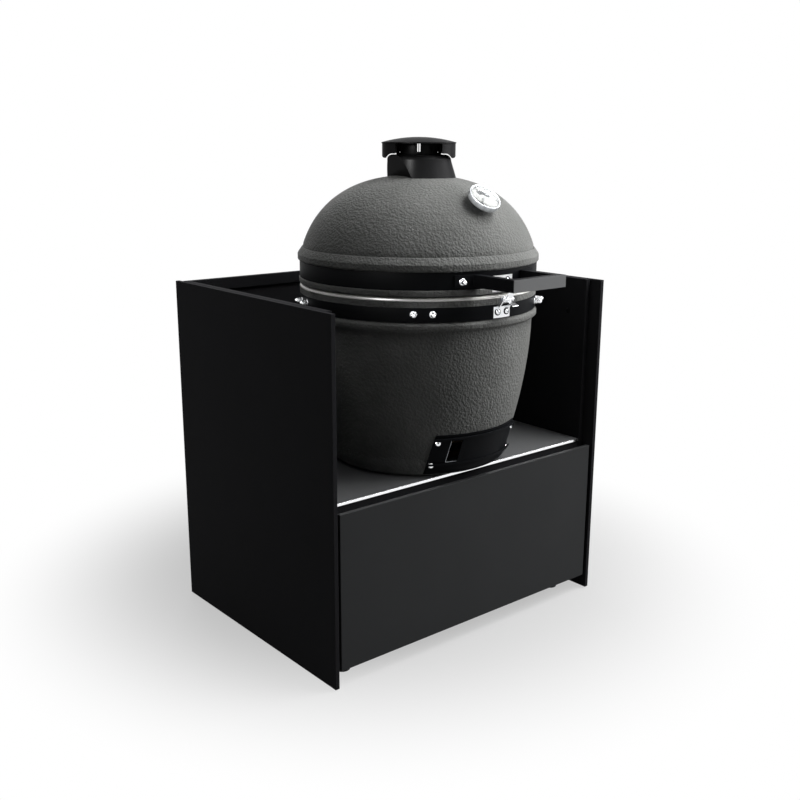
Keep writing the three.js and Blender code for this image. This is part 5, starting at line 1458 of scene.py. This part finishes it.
class KAMADO_OT_cap(DressTable, Operator):
    """Casts the rain cap: crown, arched skirt and slotted sleeve"""

    bl_idname = "kamado.cap"
    bl_label = "Rain cap"

    def execute(self, context):
        sizes = context.scene.kamado_vent
        rise, rim = sizes.crown_rise, sizes.cap_radius
        sphere = (rim ** 2 + rise ** 2) / (2 * rise)

        def crown(radius):
            """Height of the crown's outside at a radius."""
            return sizes.rim_height + math.sqrt(sphere ** 2 - radius ** 2) - sphere + rise

        def ceiling(radius):
            """Height of the crown's inside at a radius."""
            return crown(radius) - sizes.crown_wall

        collar_low = above_shelf("vent_collar")[0]
        rim_low = sizes.rim_height - sizes.rim_thickness
        inner = sizes.skirt_radius - sizes.skirt_wall
        sleeve_outer = sizes.collar_radius - sizes.collar_wall - sizes.clearance
        sleeve_inner = sleeve_outer - sizes.collar_wall
        sleeve_low = collar_low + sizes.bridge_height + sizes.clearance
        steps = 14
        top = [(rim * (1 - i / steps), crown(rim * (1 - i / steps))) for i in range(steps + 1)]
        edge = sizes.skirt_edge
        outline = [
            (0, ceiling(0)), (sleeve_inner / 2, ceiling(sleeve_inner / 2)),
            (sleeve_inner, ceiling(sleeve_inner)), (sleeve_inner, sleeve_low),
            (sleeve_outer, sleeve_low), (sleeve_outer, ceiling(sleeve_outer)),
            (inner, ceiling(inner)), (inner, rim_low), (rim, rim_low), *top,
        ]
        reach = sleeve_outer + 1 * MM
        cap = carved(
            revolved("vent_cap_cast", outline), *slot_cutters(sizes, collar_low + sizes.slot_lift, reach)
        )
        fit(eased(cap, SMALL_EDGE, steps=2, least=40.0), "cap", "casting", "casting", "vent_cap")
        foot = sizes.skirt_bottom
        skirt = revolved("vent_cap_skirt", [
            (inner, foot), *arc((sizes.skirt_radius - edge, foot + edge), edge, -90, 0, 6),
            (sizes.skirt_radius, rim_low), (inner, rim_low),
        ])
        # The arch's foot keeps the same distance from the chimney's round shoulder
        centre = (sizes.top_radius - sizes.shoulder, sizes.cone_top)
        half = arc(centre, sizes.shoulder + sizes.arch_gap, 10, 90, 12)
        half.insert(0, (half[0][0], foot - sizes.shoulder))
        half += [(sizes.arch_half, half[-1][1]), (sizes.arch_half, rim_low - 0.2 * MM)]
        arch = half + [(-x, z) for x, z in half[::-1]]
        through = Matrix(((1, 0, 0, 0), (0, 0, -1, 0), (0, 1, 0, 0), (0, 0, 0, 1)))
        facing = Matrix.Rotation(sizes.cap_azimuth, 4, "Z")
        skirt = carved(skirt, flat_piece("arch", arch, 3 * rim, PLACE @ facing @ through))
        fit(eased(skirt, SMALL_EDGE, steps=2, least=40.0), "cap", "casting", "casting")
        self.turn_spindle(sizes, ceiling(0))
        return {"FINISHED"}

    def turn_spindle(self, sizes, top):
        """Turns the spindle, necked down where the slots let daylight through."""
        low, high = above_shelf("vent_spindle")
        collar_high = low + sizes.spindle_foot
        neck_low = above_shelf("vent_collar")[0] + sizes.bridge_height + sizes.clearance
        neck_high = top - 1 * MM
        outline = rounded([
            (0, low), (sizes.spindle_collar, low), (sizes.spindle_collar, collar_high),
            (sizes.spindle, collar_high), (sizes.spindle, neck_low), (sizes.spindle_neck, neck_low),
            (sizes.spindle_neck, neck_high), (sizes.spindle, neck_high), (sizes.spindle, high), (0, high),
        ], SMALL_EDGE)
        spindle = revolved("vent_spindle_turned", outline, sides=40)
        fit(spindle, "cap", "stainless", "stainless", "vent_spindle")


def gauge_place(context):
    """The matrix that stands the thermometer, drawn along Z, on the dome's front."""
    shell = context.scene.kamado_shell
    sizes = context.scene.kamado_gauge
    power = shell.dome_power
    share = (sizes.height - shell.dome_centre) / shell.dome_rise
    radius = shell.dome_radius * (1 - share ** power) ** (1 / power)
    across = (radius / shell.dome_radius) ** (power - 1) / shell.dome_radius
    up = share ** (power - 1) / shell.dome_rise
    out = Vector((0, -across, up)).normalized()
    right = Vector((1, 0, 0))
    turn = Matrix((right, out.cross(right), out)).transposed().to_4x4()
    return Matrix.Translation(AXIS + Vector((0, -radius, sizes.height))) @ turn


class KAMADO_OT_thermometer(DressTable, Operator):
    """Builds the thermometer: case, printed dial, pointer and lens"""

    bl_idname = "kamado.thermometer"
    bl_label = "Thermometer"

    def execute(self, context):
        sizes = context.scene.kamado_gauge
        place = gauge_place(context)
        face = sizes.standoff + sizes.depth
        well = sizes.radius - sizes.bezel
        floor = sizes.standoff + sizes.back_wall
        bevel = 0.8 * MM
        case = rounded([
            (0, -sizes.probe_length), (sizes.probe_radius, -sizes.probe_length),
            (sizes.probe_radius, -sizes.stem_length), (sizes.stem_radius, -sizes.stem_length),
            (sizes.stem_radius, GAP), (sizes.boss_radius, GAP), (sizes.boss_radius, sizes.boss_height),
            (2 * sizes.boss_radius, sizes.standoff), (sizes.radius, sizes.standoff),
            (sizes.radius, face), (sizes.radius - sizes.bezel / 2, face),
            (well, face - bevel), (well, floor), (0, floor),
        ], sizes.edge, steps=6)
        dial_low = floor + GAP
        dial_top = dial_low + sizes.dial_thickness
        fitted = well - GAP
        lens_low = face - sizes.lens_recess - sizes.lens_thickness
        lens_top = lens_low + sizes.lens_thickness
        parts = (
            ("case", "spun", "stainless", case),
            ("dial", "plate", "dial", rounded(oblong(0, dial_low, fitted, dial_top), FINE_EDGE)),
            ("lens", "glass", "glass", rounded(oblong(0, lens_low, fitted, lens_top), FINE_EDGE)),
        )
        for part, made, finish, outline in parts:
            node = f"thermometer_{part}"
            piece = revolved(f"{node}_{made}", outline, sides=96, place=place)
            fit(piece, "dome", finish, finish, node)
        self.print_dial(sizes, place, dial_top, fitted)
        self.pointer(sizes, place, dial_top)
        return {"FINISHED"}

    def print_dial(self, sizes, place, top, radius):
        """Prints ticks and a grey zone on the dial, and a dark arc below the bezel's top that is painted
        shadow of the bezel.
        """
        ink = 0.12 * MM
        ticks, first_long, long_each = 26, 1, 4
        # Length and half width of a tick
        long_tick, short_tick = (4.2 * MM, 0.5 * MM), (2.2 * MM, 0.3 * MM)
        outer = radius - 2.2 * MM
        mesh = bmesh.new()
        for i in range(ticks + 1):
            turn = sizes.sweep_start - sizes.sweep * i / ticks
            deep, wide = long_tick if i % long_each == first_long else short_tick
            stand = Matrix.Rotation(turn, 4, "Z") @ Matrix.Translation((0, 0, top + ink / 2))
            slab(mesh, oblong(-wide, outer - deep, wide, outer), ink, place @ stand)
        fit(piece_of("thermometer_print", mesh), "dome", "ink", "dial")
        # Edges in from the dial's rim, and degrees from the dial's foot, so that its top is at 180
        grey_zone = (23 * MM, 10.5 * MM, (100.0, 198.0))
        # The dark arc is painted shadow: the bezel's shade on the dial's top
        painted_bezel_shadow = (8.5 * MM, 6.3 * MM, (98.0, 188.0))
        mesh = bmesh.new()
        for inner, outer, span in (grey_zone, painted_bezel_shadow):
            outline = oblong(radius - inner, top, radius - outer, top + ink)
            turned(mesh, outline, place, sides=40, span=span)
        fit(piece_of("thermometer_zone_and_painted_shadow", mesh), "dome", "zone_and_shadow", "dial")

    def pointer(self, sizes, place, dial_top):
        """Builds the pointer and its hub."""
        low = dial_top + GAP
        half = sizes.needle_width / 2
        lift, thick = 1.4 * MM, 0.8 * MM
        hub_radius, hub_height = 3.5 * MM, 2.1 * MM
        outline = [
            (-half * 0.8, -sizes.needle_tail), (half * 0.8, -sizes.needle_tail), (half, 0),
            (half / 4, sizes.needle_length), (-half / 4, sizes.needle_length), (-half, 0),
        ]
        mesh = bmesh.new()
        turn = Matrix.Rotation(sizes.sweep_start, 4, "Z")
        slab(mesh, outline, thick, place @ turn @ Matrix.Translation((0, 0, low + lift)))
        hub = rounded(oblong(0, low, hub_radius, low + hub_height), SMALL_EDGE)
        turned(mesh, hub, place, sides=32)
        needle = eased(piece_of("thermometer_pointer", mesh), 0.15 * MM, steps=2)
        fit(needle, "pointer", "needle", "needle", "thermometer_needle")


class KAMADO_OT_draft_door(DressTable, Operator):
    """Bends the draft door's frame and slider round the bowl and sets its screws"""

    bl_idname = "kamado.draft_door"
    bl_label = "Draft door"

    def execute(self, context):
        shell = context.scene.kamado_shell
        sizes = context.scene.kamado_draft

        def follow(heights, off):
            """Points at some heights, so far off the bowl."""
            return [(bowl_radius(shell, h) + off, h) for h in heights]

        near, far = sizes.seat, sizes.seat + sizes.thickness
        half = sizes.half_angle
        plate = self.windowed_plate(shell, sizes, near, far)
        slider_low = sizes.window_low - sizes.overlap
        slider_high = sizes.window_high + sizes.overlap
        slider_near = far + sizes.clearance
        slider_far = slider_near + sizes.slider_thickness
        lip_near = slider_far + sizes.clearance
        lip_far = lip_near + sizes.rail
        rails = [
            (slider_low - sizes.rail_root, slider_low - sizes.clearance, slider_low + sizes.rail_lip),
            (slider_high + sizes.rail_root, slider_high + sizes.clearance, slider_high - sizes.rail_lip),
        ]
        mesh = bmesh.new()
        for root, ledge, lip in rails:
            outline = [
                *follow([root], far), *follow([root], lip_far), *follow([lip], lip_far),
                *follow([lip], lip_near), *follow([ledge], lip_near), *follow([ledge], far),
            ]
            turned(mesh, rounded(outline, SMALL_EDGE, steps=2), sides=60, span=(-half, half))
        rail_pair = eased(piece_of("draft_rails_bent", flared(mesh, sizes)), FINE_EDGE, steps=2, least=50.0)
        fit(plate, "cabinet", "band", "band", "draft_frame")
        fit(rail_pair, "cabinet", "band", "band")
        mesh = bmesh.new()
        heights = bowl_heights(shell, slider_low, slider_high)
        outline = follow(heights, slider_near) + follow(heights[::-1], slider_far)
        turned(mesh, outline, sides=40, span=(sizes.slider_left, sizes.slider_right))
        slider = piece_of("draft_slider_bent", flared(mesh, sizes))
        slider = eased(slider, SMALL_EDGE, steps=2, least=50.0)
        fit(slider, "slider", "band", "band", "draft_slider")
        self.screws(shell, sizes, far)
        self.window_highlight(shell, sizes, far)
        return {"FINISHED"}

    def screws(self, shell, sizes, far):
        """Sets the screws in the plate's corners, with black plugs in their sockets as painted shade."""
        # Degrees from the front, and height above the shelf
        places = (
            (-29.2, 95.6 * MM), (29.2, 95.6 * MM), (-32.6, 34.0 * MM), (32.6, 34.0 * MM),
        )
        rise = 1 * MM
        socket_low, socket_high = 0.2 * MM, 2 * MM
        mesh = bmesh.new()
        socket_shade = bmesh.new()
        for azimuth, height in places:
            slope = (bowl_radius(shell, height + rise) - bowl_radius(shell, height - rise)) / (2 * rise)
            lean = -math.degrees(math.atan(slope))
            place = facing_out(azimuth, bowl_radius(shell, height) + far, height, lean)
            button_head(mesh, place, sizes.screw_head, sizes.screw_dome, sizes.screw_socket)
            # A black hexagon in each socket is painted shade of the recess
            turned(socket_shade, oblong(0, socket_low, sizes.screw_socket, socket_high), place, sides=6)
        fit(piece_of("draft_screws", mesh), "cabinet", "chrome", "chrome")
        fit(piece_of("draft_screw_socket_shade", socket_shade), "cabinet", "band", "band")

    def window_highlight(self, shell, sizes, far):
        """Lays bright wires along the window's left and lower edge: painted highlight where those edges
        catch the light.
        """
        left, right = sizes.window_left, sizes.slider_left
        low, high = sizes.window_low, sizes.window_high
        steps = 12
        side = [(left, height) for height in run(high, low, steps)]
        sill = [(azimuth, low) for azimuth in run(left, right, steps)]
        mesh = bmesh.new()
        for path, radius in ((side, sizes.highlight_side), (sill, sizes.highlight_sill)):
            points = [around(a, bowl_radius(shell, h) + far, h) for a, h in path]
            sweep(mesh, points, radius, sides=10)
        fit(piece_of("draft_window_painted_highlight", flared(mesh, sizes)), "cabinet", "runner", "stainless")

    def windowed_plate(self, shell, sizes, near, far):
        """The door's plate: a sheet that follows the bowl, with its window left open."""
        half = sizes.half_angle
        columns = 66
        azimuths = set(run(-half, half, columns))
        keep = half / columns
        for edge in (sizes.window_left, sizes.window_right):
            azimuths = {a for a in azimuths if abs(a - edge) > keep} | {edge}
        rows = 36
        heights = set(run(sizes.bottom, sizes.top, rows))
        keep = (sizes.top - sizes.bottom) / rows / 2
        for edge in (sizes.window_low, sizes.window_high):
            heights = {h for h in heights if abs(h - edge) > keep} | {edge}
        azimuths, heights = sorted(azimuths), sorted(heights)
        mesh = bmesh.new()
        grid = {}
        for i, azimuth in enumerate(azimuths):
            for j, height in enumerate(heights):
                for k, off in enumerate((near, far)):
                    point = around(azimuth, bowl_radius(shell, height) + off, height)
                    grid[i, j, k] = mesh.verts.new(point)

        def kept(i, j):
            """Whether a cell of the grid is plate, and not window or beyond the edge."""
            if not (0 <= i < len(azimuths) - 1 and 0 <= j < len(heights) - 1):
                return False
            across = (azimuths[i] + azimuths[i + 1]) / 2
            up = (heights[j] + heights[j + 1]) / 2
            open_across = sizes.window_left < across < sizes.window_right
            return not (open_across and sizes.window_low < up < sizes.window_high)

        for i in range(len(azimuths) - 1):
            for j in range(len(heights) - 1):
                if not kept(i, j):
                    continue
                corners = [(i, j), (i + 1, j), (i + 1, j + 1), (i, j + 1)]
                mesh.faces.new([grid[a, b, 1] for a, b in corners])
                mesh.faces.new([grid[a, b, 0] for a, b in corners[::-1]])
                beside = [(i, j - 1), (i + 1, j), (i, j + 1), (i - 1, j)]
                for k, cell in enumerate(beside):
                    if not kept(*cell):
                        one, other = corners[k], corners[(k + 1) % 4]
                        mesh.faces.new((
                            grid[(*one, 0)], grid[(*other, 0)], grid[(*other, 1)], grid[(*one, 1)]
                        ))
        loose = [vertex for vertex in mesh.verts if not vertex.link_faces]
        bmesh.ops.delete(mesh, geom=loose, context="VERTS")
        plate = piece_of("draft_frame_bent", flared(mesh, sizes))
        return eased(plate, sizes.edge, steps=2, least=50.0)


class KAMADO_OT_fire(DressTable, Operator):
    """Dresses what lies inside: fire bowl, ring, grate and cooking grid"""

    bl_idname = "kamado.fire"
    bl_label = "Fire parts"

    def execute(self, context):
        finish_nodes("fireclay", "firebox")
        low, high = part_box("fire_ring")
        outer = (high.x - low.x) / 2
        ring_wall, ring_edge = 22 * MM, 3 * MM
        inner = outer - ring_wall
        bottom, top = above_shelf("fire_ring")
        outline = rounded(oblong(inner, bottom, outer, top), ring_edge)
        ring = revolved("fire_ring_pressed", outline, sides=128)
        fit(ring, "cabinet", "fireclay", "fireclay", "fire_ring")
        finish_nodes("iron", "charcoal_grate")
        self.grid()
        return {"FINISHED"}

    def grid(self):
        """Welds the cooking grid: a rim of wire with straight bars across."""
        low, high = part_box("cooking_grid")
        middle = (low + high) / 2
        rim_wire = (high.z - low.z) / 2
        radius = (high.x - low.x) / 2 - rim_wire
        wire, bars, steps = 2.5 * MM, 17, 96
        mesh = bmesh.new()
        points = []
        for i in range(steps):
            turn = 2 * math.pi * i / steps
            points.append(middle + Vector((math.cos(turn), math.sin(turn), 0)) * radius)
        sweep(mesh, points, rim_wire, closed=True)
        pitch = 2 * (radius + rim_wire) / (bars + 1)
        for i in range(1, bars + 1):
            x = -radius - rim_wire + i * pitch
            half = math.sqrt(radius ** 2 - x ** 2)
            sweep(mesh, [middle + Vector((x, -half, 0)), middle + Vector((x, half, 0))], wire)
        fit(piece_of("cooking_grid_welded", mesh), "cabinet", "stainless", "stainless", "cooking_grid")


class KAMADO_OT_studio(DressTable, Operator):
    """Sets the floor, the lamps, the background and the camera"""

    bl_idname = "kamado.studio"
    bl_label = "Studio"

    def execute(self, context):
        sizes = context.scene.kamado_studio
        self.floor(context.scene.kamado_finishes.floor)
        self.background(context.scene, sizes.ambient)
        # Power, degrees from the front towards the right, and degrees above the object's middle
        lamps = (
            ("key_lamp", sizes.key_power, 50, 60),
            ("side_lamp", sizes.side_power, 60, 20),
            ("front_lamp", sizes.front_power, 32, 38),
            ("left_lamp", sizes.left_power, -90, 60),
            ("strip_lamp", sizes.strip_power, -72, 27),
            ("back_lamp", sizes.back_power, 165, 32),
        )
        middle = (Vector(CAD_BOX[0]) + Vector(CAD_BOX[1])) / 2
        for name, power, azimuth, rise in lamps:
            light = bpy.data.lights.new(name, "AREA")
            light.energy = power
            light.size = sizes.lamp_size
            turn, lift = math.radians(azimuth), math.radians(rise)
            level = math.cos(lift)
            out = Vector((math.sin(turn) * level, -math.cos(turn) * level, math.sin(lift)))
            lamp = bpy.data.objects.new(name, light)
            lamp.location = middle + out * sizes.lamp_distance
            lamp.rotation_euler = (-out).to_track_quat("-Z", "Y").to_euler()
            context.scene.collection.objects.link(lamp)
            # Only gloss sees the strip, and gloss doesn't see the lamp behind
            if name == "strip_lamp":
                light.shape = "RECTANGLE"
                light.size = sizes.strip_width
                light.size_y = sizes.strip_height
                lamp.visible_diffuse = False
            elif name == "back_lamp":
                lamp.visible_glossy = False
        camera = bpy.data.cameras.new("camera")
        camera.sensor_width = 36.0
        camera.lens = sizes.lens
        view = bpy.data.objects.new("camera", camera)
        view.matrix_world = (
            Matrix.Translation(sizes.place) @ Matrix.Rotation(-sizes.heading, 4, "Z")
            @ Matrix.Rotation(math.pi / 2 - sizes.tilt, 4, "X") @ Matrix.Rotation(sizes.roll, 4, "Z")
        )
        context.scene.collection.objects.link(view)
        context.scene.camera = view
        context.scene.view_settings.view_transform = "Standard"
        return {"FINISHED"}

    def floor(self, tone):
        """Lays a pale floor that turns to plain white away from the object."""
        # Half the floor's side, its thickness, and how far it lies under the feet, in metres
        reach, thick, sunk = 14.0, 0.02, 0.0005
        under = Matrix.Translation((0, 0, -thick / 2 - sunk))
        floor = flat_piece("studio_floor", oblong(-reach, -reach, reach, reach), thick, under)
        material = bpy.data.materials.new("studio_paper")
        material.use_nodes = True
        tree = material.node_tree
        tree.nodes.clear()
        paper = add(tree, "ShaderNodeBsdfDiffuse", {"Color": rgba(tone)})
        # Other surfaces are lit by the floor as by a grey one, so that it throws little light back
        grey = add(tree, "ShaderNodeBsdfDiffuse", {"Color": rgba(tone, 0.4)})
        white = add(tree, "ShaderNodeEmission", {"Color": (1, 1, 1, 1), "Strength": 1.0})
        seen = seen_directly(tree)
        place = add(tree, "ShaderNodeTexCoord").outputs["Object"]
        # The paper shows round a place behind the object, and turns to plain white away from it
        heart, near, far = (0.12, 0.3, 0.0), 0.5, 1.2
        centred = add(tree, "ShaderNodeVectorMath", {0: place, 1: heart}, operation="SUBTRACT")
        away = add(tree, "ShaderNodeVectorMath", {0: centred.outputs[0]}, operation="LENGTH")
        ramp = {"Value": away.outputs["Value"], "From Min": near, "From Max": far, "To Min": 0.5}
        fade = add(tree, "ShaderNodeMapRange", ramp, interpolation_type="SMOOTHSTEP")
        glow = add(tree, "ShaderNodeMath", {0: seen, 1: fade.outputs["Result"]}, operation="MULTIPLY")
        lit = {0: glow.outputs[0], 1: paper.outputs[0], 2: white.outputs[0]}
        pale = add(tree, "ShaderNodeMixShader", lit)
        ways = {0: seen, 1: grey.outputs[0], 2: pale.outputs[0]}
        both = add(tree, "ShaderNodeMixShader", ways)
        add(tree, "ShaderNodeOutputMaterial", {"Surface": both.outputs[0]})
        floor.data.materials.append(material)

    def background(self, scene, ambient):
        """White where the camera, gloss or glass sees it, and a plain soft light else."""
        world = bpy.data.worlds.new("studio_air")
        scene.world = world
        world.use_nodes = True
        tree = world.node_tree
        tree.nodes.clear()
        seen = seen_directly(tree)
        strength = add(tree, "ShaderNodeMapRange", {"Value": seen, "To Min": ambient, "To Max": 1.0})
        white = {"Color": (1, 1, 1, 1), "Strength": strength.outputs["Result"]}
        sky = add(tree, "ShaderNodeBackground", white)
        add(tree, "ShaderNodeOutputWorld", {"Surface": sky.outputs[0]})


OPERATORS = (
    KAMADO_OT_finishes, KAMADO_OT_cabinet, KAMADO_OT_coupling_bolts, KAMADO_OT_drawer, KAMADO_OT_base,
    KAMADO_OT_dome, KAMADO_OT_gaskets, KAMADO_OT_bands, KAMADO_OT_handle, KAMADO_OT_latch,
    KAMADO_OT_hinge, KAMADO_OT_chimney, KAMADO_OT_collar, KAMADO_OT_cap, KAMADO_OT_thermometer,
    KAMADO_OT_draft_door, KAMADO_OT_fire, KAMADO_OT_studio,
)
GROUPS = (
    ("kamado_cabinet", CabinetSizes), ("kamado_shell", ShellSizes), ("kamado_bands", BandSizes),
    ("kamado_handle", HandleSizes), ("kamado_vent", VentSizes), ("kamado_gauge", GaugeSizes),
    ("kamado_draft", DraftSizes), ("kamado_latch", LatchSizes), ("kamado_hinge", HingeSizes),
    ("kamado_finishes", Finishes), ("kamado_studio", StudioSizes),
)


class KAMADO_PT_table(Panel):
    """Lists the steps that dress the kamado table, in their order"""

    bl_idname = "KAMADO_PT_table"
    bl_label = "Kamado table"
    bl_space_type = "VIEW_3D"
    bl_region_type = "UI"
    bl_category = "Kamado"

    def draw(self, context):
        for operator in OPERATORS:
            self.layout.operator(operator.bl_idname)


def register():
    """Registers the sizes, the operators and the panel."""
    for name, group in GROUPS:
        bpy.utils.register_class(group)
        setattr(bpy.types.Scene, name, PointerProperty(type=group))
    for operator in OPERATORS:
        bpy.utils.register_class(operator)
    bpy.utils.register_class(KAMADO_PT_table)


def unregister():
    """Takes everything back in reverse order."""
    bpy.utils.unregister_class(KAMADO_PT_table)
    for operator in reversed(OPERATORS):
        bpy.utils.unregister_class(operator)
    for name, group in reversed(GROUPS):
        delattr(bpy.types.Scene, name)
        bpy.utils.unregister_class(group)


def main():
    """Dresses the whole table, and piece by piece."""
    register()
    for operator in OPERATORS:
        family, name = operator.bl_idname.split(".")
        getattr(getattr(bpy.ops, family), name)()
    bpy.context.view_layer.update()


if __name__ == "__main__":
    main()
